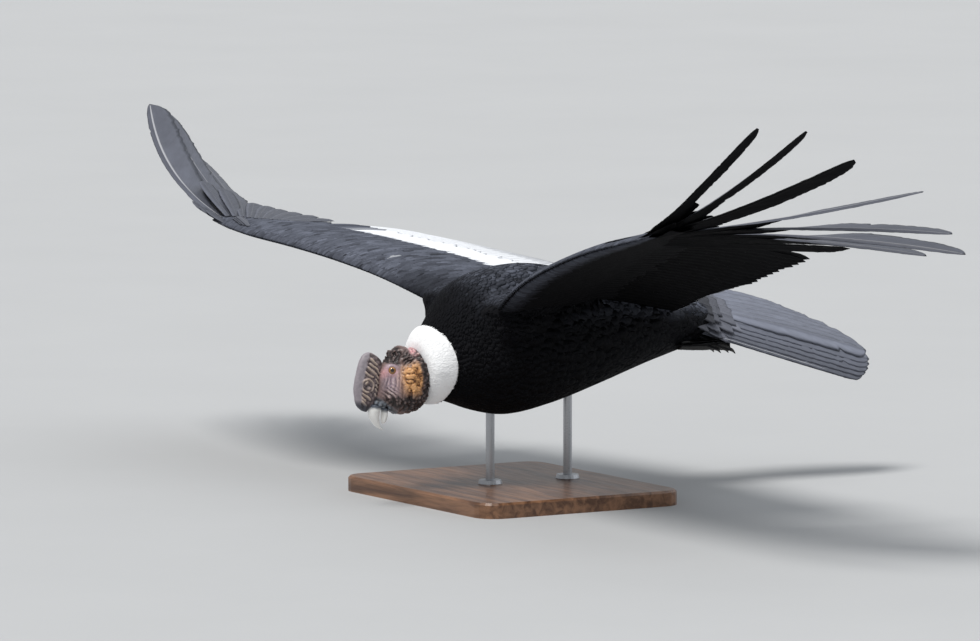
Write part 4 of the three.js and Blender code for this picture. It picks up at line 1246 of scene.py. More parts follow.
def body_uv(p):
    """The unwrap of the body round its long axis, cut open under the belly."""
    angle = np.arctan2(p[:, 0], p[:, 2] - 10)
    return np.stack([0.5 + 0.48 * angle / math.pi, 0.02 + 0.96 * (p[:, 1] + 180) / 700], -1)


def lay_leaves(flock, surface, spots, normals, flow, length, half, rng, tone=0.0, lift=0.02,
               rows=5, arch=0.0, spin=0.07, ragged=0.03, rim=0.75):
    """Leaves that follow the skin from root to tip."""
    vary = rng.standard_normal((5, len(spots)))
    ahead = unit(flow - normals * np.sum(flow * normals, 1, keepdims=True))
    ahead = unit(ahead + np.cross(ahead, normals) * (spin * vary[0])[:, None])
    side = np.cross(ahead, normals)
    length = length * (1 + 0.09 * vary[1])
    half = half * (1 + 0.08 * vary[2])
    raised = np.clip(lift * (1 + 0.2 * vary[3]), 0.02, 1)[:, None]
    template = leaf_template(rows, 2)
    x, y, height = leaf_shape(template, length, half, raised, 0.55, arch, ragged, rng)
    flat = spots[:, None] + ahead[:, None] * y[..., None] + side[:, None] * x[..., None]
    on_skin, facing = surface.drape(flat, normals[:, None])
    points = on_skin + facing * height[..., None]
    add_leaves(flock, template, points, body_uv(spots), tone * (1 + 0.12 * vary[4]), rim, rng)


# Body

# By y: height of the middle, half width, half height
TORSO = profile(
    [
        [-184, 4, 40, 46],
        [-172, 6, 61, 65],
        [-158, 10, 79, 78],
        [-138, 15, 95, 91],
        [-100, 26, 120, 118],
        [-30, 26, 134, 135],
        [60, 24, 132, 132],
        [160, 16, 116, 107],
        [260, 8, 92, 79],
        [340, 0, 66, 58],
        [392, -6, 48, 44],
        [424, -10, 28, 30],
    ]
)
COAT_DEPTH = 5
WING_COAT_DEPTH = 3.5


def wing_root_parts(wing):
    """The wing's flesh, with the shoulder and the chest's muscle at its root."""
    s = np.linspace(-60, WING_LENGTH, 42)
    x = (1 - np.cos(np.linspace(0, math.pi, 15))) / 2
    around = [(v, 1) for v in x] + [(v, -1) for v in x[-2:0:-1]]
    rings = [wing.flesh(s, np.full(len(s), v), sign, -WING_COAT_DEPTH) for v, sign in around]
    start = np.array(wing.pose["shoulder"], float)
    shoulder = ball(start + [-26, 72, -4], [50, 88, 24])
    chest = ball(start + [-44, 49, -34], [60, 68, 46])
    parts = [closed_loft(np.stack(rings, 1)), shoulder, chest]
    if wing.mirrored:
        parts = [(points * [-1, 1, 1], [f[:, ::-1] for f in faces]) for points, faces in parts]
    return parts


def body_parts():
    y = np.linspace(-184, 424, 46)
    z, w, h = TORSO(y).T
    sag = 2 + 3 * bell(y + 45, 70)
    centres = np.stack([0 * y, y, z - sag], -1)
    high = h - COAT_DEPTH + sag
    parts = [closed_loft(ellipse_rings(centres, w - COAT_DEPTH, high, LEFT, UP, 40))]
    for wing in wings:
        parts += wing_root_parts(wing)
    t = np.linspace(0, 1, 14)
    shrink = np.sqrt(1.04 - t**3)
    centres = tail_point(0 * t, lerp(-50, 80, t), np.full(len(t), -10.0))
    wide, high = lerp(40, 42, t) * shrink, lerp(32, 22, t) * shrink
    parts.append(closed_loft(ellipse_rings(centres, wide, high, TAIL_OUT, TAIL_UP, 24)))
    return parts


def feather_length(p):
    """Contour feathers grow longer from the ruff to the rump."""
    size = lerp(13, 36, ramp(p[:, 1], -170, 40))
    return size + 8 * ramp(p[:, 1], 250, 400)


def below_ruff(p):
    """Where the dark coat grows: behind the ruff, which ends further back at the sides."""
    side = np.abs(p[:, 0]) / (1 + np.hypot(p[:, 0], p[:, 2] - 5))
    return (np.abs(p[:, 0]) < 186) & (p[:, 1] > lerp(-179, -161, side**2) - 4)


def body_flow(p):
    outward = ramp(np.abs(p[:, 0]), 70, 175) * ramp(p[:, 2], 30, 90)
    flow = np.stack([0.25 * np.sign(p[:, 0]) * outward, np.ones(len(p)), 0 * outward], -1)
    tail = ramp(p[:, 1], 360, 430)[:, None]
    return flow * (1 - tail) + TAIL_BACK * tail


def dress_body():
    rng = np.random.default_rng(51)
    spots, normals = body_skin.scatter(lambda p: 0.28 * feather_length(p), below_ruff, rng)
    length = feather_length(spots)
    # Painted light: feathers whose skin faces up get a lighter tone, a painted skylight sheen over
    # some grey mottle; those facing down stay near black, painted shade.
    up = (normals @ POSED.T)[:, 2]
    back = ramp(up, 0.1, 0.95)
    patchy = 0.5 + 0.5 * noise(spots / 16, 57) + 0.35 * rng.standard_normal(len(spots))
    grey_mottle_and_sheen = 0.3 * ramp(spots[:, 1], -150, -40) * np.clip(0.55 + 0.6 * patchy, 0.2, 1.5)
    tone = 0.008 + back * (grey_mottle_and_sheen + 0.12 * ramp(spots[:, 1], 330, 380))
    for name, part in (("upper", up > 0.05), ("lower", up <= 0.05)):
        flock = Flock()
        lay_leaves(flock, body_skin, spots[part], normals[part], body_flow(spots[part]),
                   length[part], 0.33 * length[part], rng, tone=tone[part])
        flock.make(f"coat_body_{name}", "black_plumage", ["torso"], [body_feather])


body_skin = Surface(*fuse(body_parts(), BODY_VOXEL, 26))
dress_body()


# Head: its own directions are fore (to the bill's tip), crown and left

DROOP = math.radians(HEAD_DROOP)
FORE = np.array([0, -math.cos(DROOP), -math.sin(DROOP)])
CROWN = np.array([0, -math.sin(DROOP), math.cos(DROOP)])
# By fore: the middle's height along the crown, half height, half width
SKULL_ROWS = [
    [-28, -22, 8, 9],
    [-24, -21, 15, 17],
    [-13, -20, 21, 24],
    [3, -17, 24.5, 27.5],
    [20, -12.5, 26.5, 27],
    [40, -10, 26, 23.5],
    [60, -8, 20.5, 19],
    [78, -5, 17, 14],
    [89, -3.5, 13.5, 11],
]
EYE_FORE = 22
EYE_ANGLE = 28
EYE_DEPTH = 4.6
# By y: height of the middle, half width, half height
NECK = profile(
    [
        [-282, -31, 10, 20],
        [-276, -31, 24, 34],
        [-262, -27.5, 35, 44.5],
        [-242, -25.5, 42, 50.5],
        [-220, -20.5, 44, 52.5],
        [-198, -12, 41, 49],
        [-178, -3, 38, 42],
        [-158, 2, 36, 38],
    ]
)
LAPPET_AT = np.array([38, -222, -10])
LAPPET_SIZE = [11, 28, 27]
# Balls over the brow and down the nape: place and size, then how flat they are
BROW_BALLS = [((-2, 6, 4), 3.6), ((-10, 2, 8), 4.2), ((-14, -3, 13), 5.4), ((-12, -12, 21), 4.6),
              ((-9, -20, 25), 4.4), ((-8, -28, 30), 5.0)]
NAPE_BALLS = [((36, -224, 15), 5.0), ((37, -216, 9), 5.4), ((41, -211, -2), 5.2),
              ((41, -207, -15), 6.0), ((39, -206, -30), 5.6), ((33, -207, -44), 5.0)]


def head_point(fore, crown, left):
    fore, crown, left = (np.asarray(v, float)[..., None] for v in (fore, crown, left))
    return HEAD_CENTRE + FORE * fore + CROWN * crown + LEFT * left


def head_axes(points):
    own = points - HEAD_CENTRE
    return own @ FORE, own @ CROWN, own[..., 0]


def skull_point(fore, angle, side, h=0.0):
    """A point on the skull at an angle above its side, h above its surface."""
    k = max(i for i in range(len(SKULL_ROWS) - 1) if i == 0 or fore > SKULL_ROWS[i][0])
    a, b = np.array(SKULL_ROWS[k]), np.array(SKULL_ROWS[k + 1])
    _, u, hu, hl = lerp(a, b, (fore - a[0]) / (b[0] - a[0]))
    turned = math.radians(angle)
    return head_point(fore, u + (hu + h) * math.sin(turned), side * (hl + h) * math.cos(turned))


def eye_point(side, outwards):
    return skull_point(EYE_FORE, EYE_ANGLE, side, outwards - EYE_DEPTH)


def head_rings(rows, stations, sides, power=1.0):
    f = np.linspace(rows[0][0], rows[-1][0], stations)
    u, hu, hl = profile(rows)(f).T
    return ellipse_rings(head_point(f, u, 0 * f), hl, hu, LEFT, CROWN, sides, power)


def neck_part():
    y = np.linspace(-282, -158, 90)
    z, w, h = NECK(y).T
    fold = 3.2 * folds((y + 262.5) / 13) * ramp(y, -272, -262) * ramp(y, -196, -206)
    rings = ellipse_rings(np.stack([0 * y, y, z], -1), w + fold, h + fold, LEFT, UP, 60)
    rings[:, :, 1] += 1.6 * np.sin(3 * circle(60))[None] * ramp(y, -280, -268)[:, None]
    return closed_loft(rings)


def face_parts(side):
    """One side's lappet, lids, ear, brow fold, knobs and the soft lobes beside the bill."""
    outwards = eye_point(side, 1) - eye_point(side, 0)
    parts = [
        ball(LAPPET_AT * [side, 1, 1], LAPPET_SIZE),
        ring_round(eye_point(side, 4.6), outwards, 7.9, 1.9),
        ring_round(eye_point(side, 2.6), outwards, 11, 2.6),
        ring_round(skull_point(-3, -4, side, -0.4), LEFT, 4.8, 1.8),
        ball(head_point(83, 1, side * 8), [5, 7, 7], 11),
        ball(head_point(82, -11, side * 9), [5, 6, 6], 11),
    ]
    brow = []
    for turned in np.radians(np.linspace(155, 15, 5)):
        at = (EYE_FORE + 14 * math.cos(turned), EYE_ANGLE + 6 + 24 * math.sin(turned))
        brow.append(skull_point(*at, side, -0.6))
    parts.append(tube(brow, [1.4, 2.8, 3.2, 2.8, 1.4]))
    for (f, u, l), size in BROW_BALLS:
        parts.append(ball(head_point(f, u, side * l), [size, 0.8 * size, size], 9))
    for (x, y, z), size in NAPE_BALLS:
        parts.append(ball([side * x, y, z], [size, 0.9 * size, size], 9))
    return parts


def head_parts():
    skull = closed_loft(head_rings(SKULL_ROWS, 44, 40))
    return [skull, neck_part(), *face_parts(1), *face_parts(-1)]


def blob(points, centre, radii, strength):
    """Up to 1 round the centre and falling off beside it, alike on both sides of the bird."""
    own = np.abs(points) * [1, 0, 0] + points * [0, 1, 1]
    return np.clip(strength * np.exp(-np.sum(((own - centre) / radii) ** 2, 1)), 0, 1)


class HeadMap:
    """Where the parts of the head's and neck's skin lie, each from 0 to 1 at the points."""

    def __init__(self, points):
        self.points = points
        self.f, self.u, l = head_axes(points)
        beside = np.abs(l)
        y, z = points[:, 1], points[:, 2]
        self.both = np.stack([beside, y, z], -1)
        self.warp = warp = noise(self.both / 13, 3)
        self.fine_warp = noise(self.both / 5, 5)
        self.eye_gap = np.linalg.norm(self.both - eye_point(1, 0), axis=1)
        orange = blob(points, [46, -236, -14], [24, 19, 31], 1.7)
        self.orange = orange * ramp(beside, 22, 32) * ramp(y, -214, -222)
        cheek = blob(points, head_point(40, -8, 26), [14, 22, 26], 1.6)
        self.cheek = cheek * (1 - self.orange) * ramp(beside, 6, 14)
        low_cheek = blob(points, head_point(64, -12, 20), [14, 15, 14], 1.4)
        self.low_cheek = low_cheek * (1 - self.orange)
        self.ring = ramp(self.eye_gap, 19, 12)
        self.cere = ramp(self.f + 0.35 * self.u + 2 * warp, 75, 82)
        self.throat = ramp(z + 5 * warp, -36, -50) * ramp(self.f, 92, 80)
        brow = ramp(self.f, 15, 5) * ramp(self.u + 2 * warp, -14, -6)
        self.brow = brow * (1 - ramp(self.eye_gap, 15, 11))
        self.temple = blob(points, [27, -232, 23], [13, 13, 14], 1.7)
        self.nape = ramp(y + 3 * warp, -224, -214) * (1 - 0.6 * self.orange)

    def wrinkles(self):
        """The height of the folds, in millimetres."""
        f, u, both, warp, fine_warp = self.f, self.u, self.both, self.warp, self.fine_warp
        lines = folds((u + 0.15 * f + 2.6 * warp + 1.2 * fine_warp) / 5.8)
        cross_lines = folds((0.85 * f + 0.5 * u + 3 * warp + 1.4 * fine_warp) / 5.6)
        stripes = folds((0.75 * u - 0.6 * f + 2.4 * warp) / 5.2)
        from_centre = both - [48, -232, -17]
        spread = np.arctan2(from_centre[:, 2], from_centre[:, 1])
        reach = np.linalg.norm(from_centre, axis=1)
        radial = folds(spread * 2.1 + 0.9 * warp + 0.5 * fine_warp + 0.04 * reach)
        crumple = 0.65 * np.minimum(1, 2.6 * np.abs(noise(both / 8.5, 7)))
        crumple = crumple + 0.35 * np.minimum(1, 2.6 * np.abs(noise(both / 4.0, 9)))
        lumps = knobs(both / 7.6 + 0.3 * warp[:, None], 11)
        small = knobs(both / 3.4 + 0.2 * fine_warp[:, None], 13)
        rough = np.clip(self.brow + self.nape + self.throat, 0, 1)
        plain = (1 - rough) * (1 - self.orange) * (1 - self.cheek)
        height = (
            self.cheek * (1 - self.low_cheek) * (lines - 0.6) * 2.4
            + self.low_cheek * (cross_lines - 0.6) * 2.8
            + self.orange * ((radial - 0.6) * 0.8 + (crumple - 0.5) * 2.8)
            + rough * ((lumps - 0.5) * 3.2 + (small - 0.4) * 0.5)
            + self.temple * (1 - rough) * (stripes - 0.5) * 2.4
            + plain * (small - 0.4) * 0.5
        )
        lobes = self.cere * (knobs(both / 8.5, 19) - 0.5) * 1.6
        return height * (1 - 0.85 * self.ring) * (1 - self.cere) + lobes

    def colours(self):
        pink = 0.8 * np.clip(blob(self.points, head_point(30, 14, 20), [10, 11, 9], 1.2) / 0.8, 0, 1)
        pink = np.maximum(pink, 0.6 * ramp(self.eye_gap, 15, 10) * ramp(self.f, 14, 24))
        patch = blob(self.points, [13, -213, 36], [16, 8, 10], 1.7)
        pink = np.maximum(pink, patch)
        dark = self.brow + self.throat + (self.nape + self.temple) * (1 - patch)
        return {
            "orange": self.orange * (1 - 0.5 * self.temple) * lerp(1, 0.65, ramp(self.f, 58, 76)),
            "lilac": np.maximum(self.cheek, 0.9 * self.ring) * (1 - 0.5 * self.low_cheek),
            "pink": pink,
            "dark": np.clip(dark, 0, 1) * (1 - 0.8 * pink),
            "slate": self.cere,
        }


def head_skin():
    """The head's and neck's skin with its wrinkles, and where its colours lie."""
    points, quads, normals = fuse(head_parts(), HEAD_VOXEL, 4)
    head = HeadMap(points)
    height = head.wrinkles()
    fine = 0.16 * noise(head.both / 1.7, 15) + 0.1 * noise(head.both / 0.9, 17)
    sunk = 3.4 * head.brow * ramp(points[:, 1], -205, -240)
    moved = (height + fine * (1 - 0.5 * head.ring) - sunk) * ramp(points[:, 1], -196, -206)
    values = head.colours() | {"height": np.clip(0.55 + 0.3 * height, 0, 1)}
    return points + normals * moved[:, None], quads, values


def skin_material():
    paint = Paint("head_skin", Specular_IOR_Level=0.45, Subsurface_Weight=0.04,
                  Subsurface_Radius=(0.004, 0.0015, 0.001), Subsurface_Scale=1.0)
    coarse, fine = paint.speckle(90.0, 4.0), paint.speckle(420.0, 5.0)
    height = paint.given("height")
    # high lightens each colour on the wrinkles' ridges and darkens it in the folds: painted light
    # and shade of the relief.
    high = paint.between(height, 0.3, 0.8)
    dull = paint.times(coarse, 0.6)
    base = paint.blend(coarse, (0.1, 0.06, 0.055), (0.25, 0.17, 0.155))
    lilac = paint.blend(fine, (0.26, 0.19, 0.23), (0.46, 0.36, 0.4))
    orange = paint.blend(high, (0.15, 0.05, 0.015), (0.88, 0.47, 0.19))
    orange = paint.blend(dull, orange, (0.4, 0.17, 0.05))
    dark = paint.blend(high, (0.012, 0.008, 0.008), (0.1, 0.066, 0.06))
    dark = paint.blend(dull, dark, (0.03, 0.022, 0.024))
    pink = paint.blend(fine, (0.5, 0.24, 0.25), (0.72, 0.44, 0.45))
    slate = paint.blend(high, (0.035, 0.04, 0.05), (0.24, 0.27, 0.31))
    areas = {"lilac": lilac, "orange": orange, "dark": dark, "pink": pink, "slate": slate}
    for name, tint in areas.items():
        base = paint.blend(paint.given(name), base, tint)
    # Painted shade: the wrinkles' grooves are darkened.
    groove = paint.between(height, 0.12, 0.46, 0.85, 0.0)
    base = paint.blend(groove, base, (0.022, 0.013, 0.012))
    # Painted highlight: the wrinkles' ridges are lightened towards a pale pink.
    painted_ridge_highlight = paint.between(height, 0.66, 0.95, 0.0, 0.75)
    for name, least in (("dark", 0.15), ("orange", 0.1)):
        painted_ridge_highlight = paint.times(painted_ridge_highlight, paint.between(paint.given(name), 0.0, 1.0, 1.0, least))
    base = paint.blend(painted_ridge_highlight, base, (0.68, 0.54, 0.5))
    return paint.finish(base, (fine, 0.3, 0.5), (fine, 0.35, 0.0005))


# Legs, drawn back under the tail with the toes curled

TOES = [(-9, 36, 2), (0, 42, 4), (9, 34, 2)]  # to the side, ahead and down
CLAW = 15


def toe_parts(path):
    """A toe with its pads along a path."""
    parts = [tube(path, [6.5, 6, 4.6], 20, 14)]
    for k in (0.35, 0.62, 0.88):
        at = smooth_path(path, 101)[int(100 * k)]
        parts.append(ball(at - [0, 0, 0.8], [6.4 - 1.6 * k, 6, 5.6 - 1.2 * k], 9))
    return parts


def claw_tube(path):
    line = smooth_path(path, 12)
    ahead = unit(line[-1] - line[-2])
    start = np.array(path[-1]) + 0.3 * ahead
    middle = start + ahead * CLAW * 0.5 + [0, 0, -0.4]
    point = start + ahead * CLAW * 0.9 + np.array([0, -0.1, -0.9]) * CLAW * 0.3
    return tube([start, middle, point], [3.6, 2.6, 0.5], 22, 16)


def leg_tubes(side):
    """One leg's parts, and its claws."""
    x = side * 25
    shank = [[side * 36, 333, -42], [side * 31, 371, -51], [x, 404, -57], [x, 414, -58]]
    parts = [tube(shank, [11, 9, 8, 6], 30, 20)]
    claws = []
    for out, reach, drop in TOES:
        knuckle = [x + out, 406 + reach / 2, -59]
        path = [[x, 398, -55], knuckle, [x + 1.3 * out, 406 + reach, -66 - drop]]
        parts += toe_parts(path)
        claws.append(claw_tube(path))
    return parts, claws


def leg_skin(parts):
    """A leg's skin, with rows of scutes in front and beads behind."""
    points, quads, normals = fuse(parts, LEG_VOXEL, 3)
    rows = folds(points[:, 1] / 4.6 + 0.15 * noise(points / 6, 21))
    beads = knobs(points / 2.4, 23)
    front = ramp(points[:, 2] + 0.18 * (points[:, 1] - 333), -52, -44)
    height = 0.55 * lerp(beads, rows, front) - 0.2
    return points + normals * height[:, None], quads, {"height": np.clip(0.3 + height, 0, 1)}


def make_skin():
    """One skin of body, head, neck and legs, and the claws."""
    legs = [leg_tubes(1), leg_tubes(-1)]
    regions = [(body_skin.points, body_skin.quads, {}), head_skin()]
    regions += [leg_skin(parts) for parts, _ in legs]
    points, faces = joined([(own, [quads]) for own, quads, _ in regions])
    values = {}
    for name in ("orange", "lilac", "pink", "dark", "slate", "height"):
        kept = [np.broadcast_to(given.get(name, 0.0), len(own)) for own, _, given in regions]
        values[name] = np.concatenate(kept)
    indices = np.repeat([0, 1, 2, 2], [len(quads) for _, quads, _ in regions])
    materials = [
        plain_material("coat_ground", (0.004, 0.004, 0.005), (0.012, 0.012, 0.014), 60,
                       (0.7, 0.9), shine=0.1),
        skin_material(),
        plain_material("foot_skin", (0.008, 0.0075, 0.0075), (0.026, 0.024, 0.023), 200,
                       (0.5, 0.7)),
    ]
    make_piece("skin", "head_skin", ["torso", "neck", "head", "leg_left", "leg_right"], points,
               faces, materials, values=values, indices=indices)
    horn = plain_material("claw_horn", (0.006, 0.006, 0.006), (0.03, 0.026, 0.024), 260,
                          (0.25, 0.45), shine=0.5)
    for name, (_, claws) in zip(("left", "right"), legs):
        for i, claw in enumerate(claws, 1):
            make_piece(f"claw_horn_{name}_{i}", "claw_horn", [f"claw_{name}_{i}"], *claw, [horn])


make_skin()


# Comb: by fore, its middle's height along the crown, half height, half width

COMB_ROWS = [
    [0, 40, 4, 3],
    [3, 37, 12, 6],
    [10, 34, 20.5, 8],
    [24, 34, 23.5, 9],
    [40, 33, 24.5, 9.5],
    [56, 31, 26, 9.5],
    [72, 29, 26, 9],
    [84, 29, 21, 8.5],
    [94, 30, 15.5, 7.5],
    [101, 28, 10.5, 6],
    [105, 24.5, 5, 3],
]
# Ridges on its sides, each from one (fore, crown) to another
COMB_CURLS = [
    ((29, 20), (33, 15)),
    ((37, 21), (41, 16)),
    ((45, 20), (49, 15)),
    ((53, 19), (57, 14)),
    ((61, 17), (65, 13)),
    ((69, 17), (73, 13)),
]
COMB_FOLDS = [
    ((29, 40), (35, 24)),
    ((38, 45), (43, 27)),
    ((21, 39), (27, 22)),
    ((13, 38), (18, 26)),
    ((48, 48), (52, 46)),
    ((82, 43), (87, 32)),
    ((76, 39), (82, 23)),
    ((90, 38), (94, 28)),
    ((72, 47), (78, 44)),
]
COIL_GAP = ((70, 25), (74, 20))
COIL_HEART = [((55, 36), (57, 38), 3.6), ((62, 30), (64, 31), 3.0)]


def comb_ridges(f, u, warp):
    """1 along the ridges on the comb's side: a coil, with curls below and folds round it."""

    def ridge(start, end, size):
        a, b = np.array(start, float), np.array(end, float)
        own = np.stack([f, u], -1) + 2.0 * np.stack([warp, -warp], -1) - a
        share = np.clip(own @ (b - a) / ((b - a) @ (b - a) + 1e-9), 0, 1)
        return np.exp(-np.sum((own - share[:, None] * (b - a)) ** 2, 1) / size**2)

    gap = np.hypot(f - 60, (u - 34) * 1.02) + 1.1 * warp
    coil = bell(gap - 11.8, 2.3) * (1 - ridge(*COIL_GAP, 3.0))
    coil = np.max([coil] + [ridge(*line) for line in COIL_HEART], 0)
    near_coil = ramp(gap, 17, 14.5)
    curls = np.max([ridge(a, b, 2.0) for a, b in COMB_CURLS], 0)
    plaits = np.max([ridge(a, b, 2.7) for a, b in COMB_FOLDS], 0) * (1 - near_coil)
    return np.max([coil * near_coil, curls, plaits], 0)


def comb_material():
    paint = Paint("comb_skin", Specular_IOR_Level=0.45)
    coarse, fine = paint.speckle(110.0, 4.0), paint.speckle(500.0, 5.0)
    base = paint.blend(coarse, (0.13, 0.095, 0.1), (0.3, 0.235, 0.235))
    areas = {
        "rim": ((0.2, 0.175, 0.2), (0.38, 0.34, 0.36)),
        "bead": ((0.42, 0.31, 0.24), (0.72, 0.6, 0.48)),
        "slate": ((0.035, 0.035, 0.045), (0.09, 0.09, 0.11)),
    }
    for name, tints in areas.items():
        base = paint.blend(paint.given(name), base, paint.blend(coarse, *tints))
    # Painted shade: the comb's folds are darkened in their grooves.
    groove = paint.between(paint.given("height"), 0.2, 0.5, 0.85, 0.0)
    base = paint.blend(groove, base, (0.022, 0.016, 0.016))
    return paint.finish(base, (fine, 0.36, 0.55), (fine, 0.3, 0.0005))


def make_comb():
    points, faces = closed_loft(head_rings(COMB_ROWS, 150, 130, 0.75))
    f, u, l = head_axes(points)
    middle, half = profile(COMB_ROWS)(f)[:, :2].T
    flat = ramp(np.abs(l), 2.5, 6.5)
    both = np.stack([np.abs(l), f, u], -1)
    warp = noise(both / 9, 31)
    rim = ramp((u - middle) / np.maximum(half, 4) + 0.1 * warp, 0.42, 0.62)
    inner = (1 - rim) * flat
    raised = comb_ridges(f, u, warp)
    lumps = 0.9 * (knobs(both / 6.0, 37) - 0.5) * (1 - raised)
    height = inner * (2.6 * raised - 0.2 - 1.1 * bell(raised - 0.22, 0.14) + lumps)
    height = height + 0.3 * noise(both / 5, 39) * rim
    fine = 0.14 * noise(both / 1.5, 41) + 0.1 * noise(both / 0.8, 43)
    outward = points - head_point(f, middle, 0 * l)
    outward = outward / np.maximum(np.linalg.norm(outward, axis=1), 1e-6)[:, None]
    sideways = lerp(outward, np.sign(l)[:, None] * LEFT, flat[:, None])
    # slate: the comb's own dark slate at its front and rear ends, and along its base, where it meets
    # the head, painted shade of the gap.
    slate = ramp(f, 88, 99) + ramp(u + warp, 13, 8) + 0.6 * ramp(f, 14, 4) * ramp(u, 26, 14)
    values = {
        "height": np.clip(0.5 + 0.3 * height, 0, 1),
        "rim": rim,
        "bead": inner * ramp(raised, 0.45, 0.9) * (0.75 + 0.25 * warp),
        "slate": np.clip(slate, 0, 1),
    }
    make_piece("comb_skin", "comb_skin", ["comb"], points + sideways * (height + fine)[:, None],
               faces, [comb_material()], values=values)


# Bill: by fore, its middle's height along the crown, half height, half width

UPPER_BILL = [
    [89.3, 3.6, 12.4, 10.6],
    [98, 4.4, 12.6, 10],
    [107, 2.4, 12, 8.6],
    [114, -1, 10.4, 7],
    [120, -6, 8.6, 5.4],
    [124.5, -12, 7, 3.8],
    [127, -19, 4, 2.2],
    [127.6, -23, 1.2, 0.8],
]
LOWER_BILL = [
    [89.3, -15.6, 6, 8.6],
    [98, -17.8, 6.6, 8],
    [107, -19.2, 6, 6.8],
    [113, -19.6, 4.4, 4.8],
    [116.5, -19.4, 1.6, 1.8],
]


def bill_material():
    paint = Paint("bill_horn", Specular_IOR_Level=0.5)
    streaks = paint.speckle(1.0, 4.0, paint.stretched((500, 500, 90)))
    cloud = paint.speckle(60.0, 3.0)
    ivory = paint.blend(streaks, (0.86, 0.84, 0.79), (0.95, 0.945, 0.93))
    slate = paint.blend(cloud, (0.05, 0.06, 0.08), (0.16, 0.18, 0.22))
    base = paint.blend(paint.given("base"), ivory, slate)
    return paint.finish(base, (streaks, 0.22, 0.38), (streaks, 0.15, 0.0003))


def make_bill():
    """Both halves, each narrower at its cutting edge and a little keeled on the other side."""
    material = bill_material()
    for name, rows, edge, slant in (("upper", UPPER_BILL, -1, 2.4), ("lower", LOWER_BILL, 1, 0.96)):
        points, faces = closed_loft(head_rings(rows, 60, 56))
        f, u, l = head_axes(points)
        middle, half = profile(rows)(f)[:, :2].T
        level = (u - middle) / np.maximum(half, 1)
        narrow = 1 - 0.22 * ramp(edge * level, 0.35, 1.0) - 0.12 * ramp(-edge * level, 0.55, 1.0)
        groove = 0.5 * bell(f - 95, 1.2)
        ripple = 0.12 * noise(np.stack([f / 5, u / 9, l / 9], -1), 51)
        wide = l * narrow * (1 - groove / 10) + np.sign(l) * ripple
        points = head_point(f, u - groove * np.sign(level) * 0.6, wide)
        start = 95 + slant * level
        values = {"base": ramp(f + 1.2 * noise(points / 4, 53), start + 3.5, start - 3.5)}
        make_piece(f"bill_{name}_horn", "bill_horn", [f"bill_{name}"], points, faces, [material],
                   values=values)


# Eyes


def eye_material():
    paint = Paint("eye_gloss", Roughness=0.06, Specular_IOR_Level=0.5, Coat_Weight=1.0,
                  Coat_Roughness=0.02)
    radial, around = paint.given("radial"), paint.given("around")
    spokes_at = paint.joined(paint.times(around, 14.0), paint.times(radial, 4.0))
    spokes = paint.speckle(2.0, 4.0, spokes_at)
    iris = paint.blend(spokes, (0.17, 0.06, 0.01), (0.5, 0.25, 0.045))
    iris = paint.blend(paint.between(radial, 0.24, 0.36, 0.6, 0.0), iris, (0.09, 0.025, 0.008))
    iris = paint.blend(paint.between(radial, 0.47, 0.56), iris, (0.03, 0.014, 0.01))
    pupil = paint.between(radial, 0.2, 0.225, 1.0, 0.0)
    return paint.finish(paint.blend(pupil, iris, (0.002, 0.002, 0.002)))


def make_eyes():
    """Eyeballs that swell a little in front, with their distance from the pupil's middle."""
    material = eye_material()
    theta = np.linspace(0.01, math.pi - 0.01, 60)
    radius = EYE_RADIUS * (1 + 0.07 * bell(np.degrees(theta), 34))
    a = circle(64)
    for name, side in (("left", 1), ("right", -1)):
        middle = eye_point(side, 0)
        axis = unit(eye_point(side, 1) - middle)
        first = unit(np.cross(axis, CROWN))
        second = np.cross(axis, first)
        outward = np.outer(np.cos(a), first) + np.outer(np.sin(a), second)
        rings = (
            middle
            + (axis * (radius * np.cos(theta))[:, None])[:, None]
            + (radius * np.sin(theta))[:, None, None] * outward
        )
        points, faces = closed_loft(rings[::-1])
        own = points - middle
        angle = np.arccos(np.clip((own @ axis) / np.linalg.norm(own, axis=1), -1, 1))
        around = np.abs(np.arctan2(own @ second, own @ first))
        make_piece(f"eye_gloss_{name}", "eye", [f"eye_{name}"], points, faces, [material],
                   values={"radial": angle / math.pi * 2, "around": around})


make_comb()
make_bill()
make_eyes()


# Ruff of white down: radius by y

RUFF_ROWS = [
    [-205, 40],
    [-204, 48],
    [-199, 56],
    [-191, 63],
    [-182, 68],
    [-173, 71.5],
    [-168, 72],
    [-164, 69],
    [-164, 62],
]
RUFF_RINGS = 44
RUFF_SIDES = 120
RUFF_LEAN = 9
RUFF_GAP = 2.4
RUFF_OPENING = 44


def from_ruff_axis(p):
    """From the middle of the ruff, which is lower in front, to points."""
    return p - np.stack([0 * p[..., 1], p[..., 1], ruff_middle(p[..., 1])], -1)


def ruff_middle(y):
    return lerp(-7, 4, np.clip((y + 203) / 45, 0, 1))


def ruff_surface():
    y, radius = smooth_path(RUFF_ROWS, RUFF_RINGS).T
    centres = np.stack([0 * y, y, ruff_middle(y)], -1)
    rings = ellipse_rings(centres, radius + 1, radius, LEFT, UP, RUFF_SIDES)
    a = circle(RUFF_SIDES)
    rings[:, :, 1] += (RUFF_LEAN * np.cos(2 * a))[None] * ramp(y, -204, -178)[:, None]
    around = np.stack([2.6 * np.cos(a), 2.6 * np.sin(a), 0 * a], -1)
    along = 3 * np.linspace(0, 1, RUFF_RINGS)[:, None, None] * UP
    lumps = 1.6 * noise(around + along, 63)
    rings = rings + unit(rings - centres[:, None]) * lumps[..., None]
    return Surface(*fuse([closed_loft(rings)], RUFF_VOXEL))


def down_material(name, scale, detail, first, second, relief, **sockets):
    paint = Paint(name, Roughness=0.95, Specular_IOR_Level=0.05, **sockets)
    grain = paint.speckle(scale, detail)
    return paint.finish(paint.blend(grain, first, second), relief=(grain, *relief))


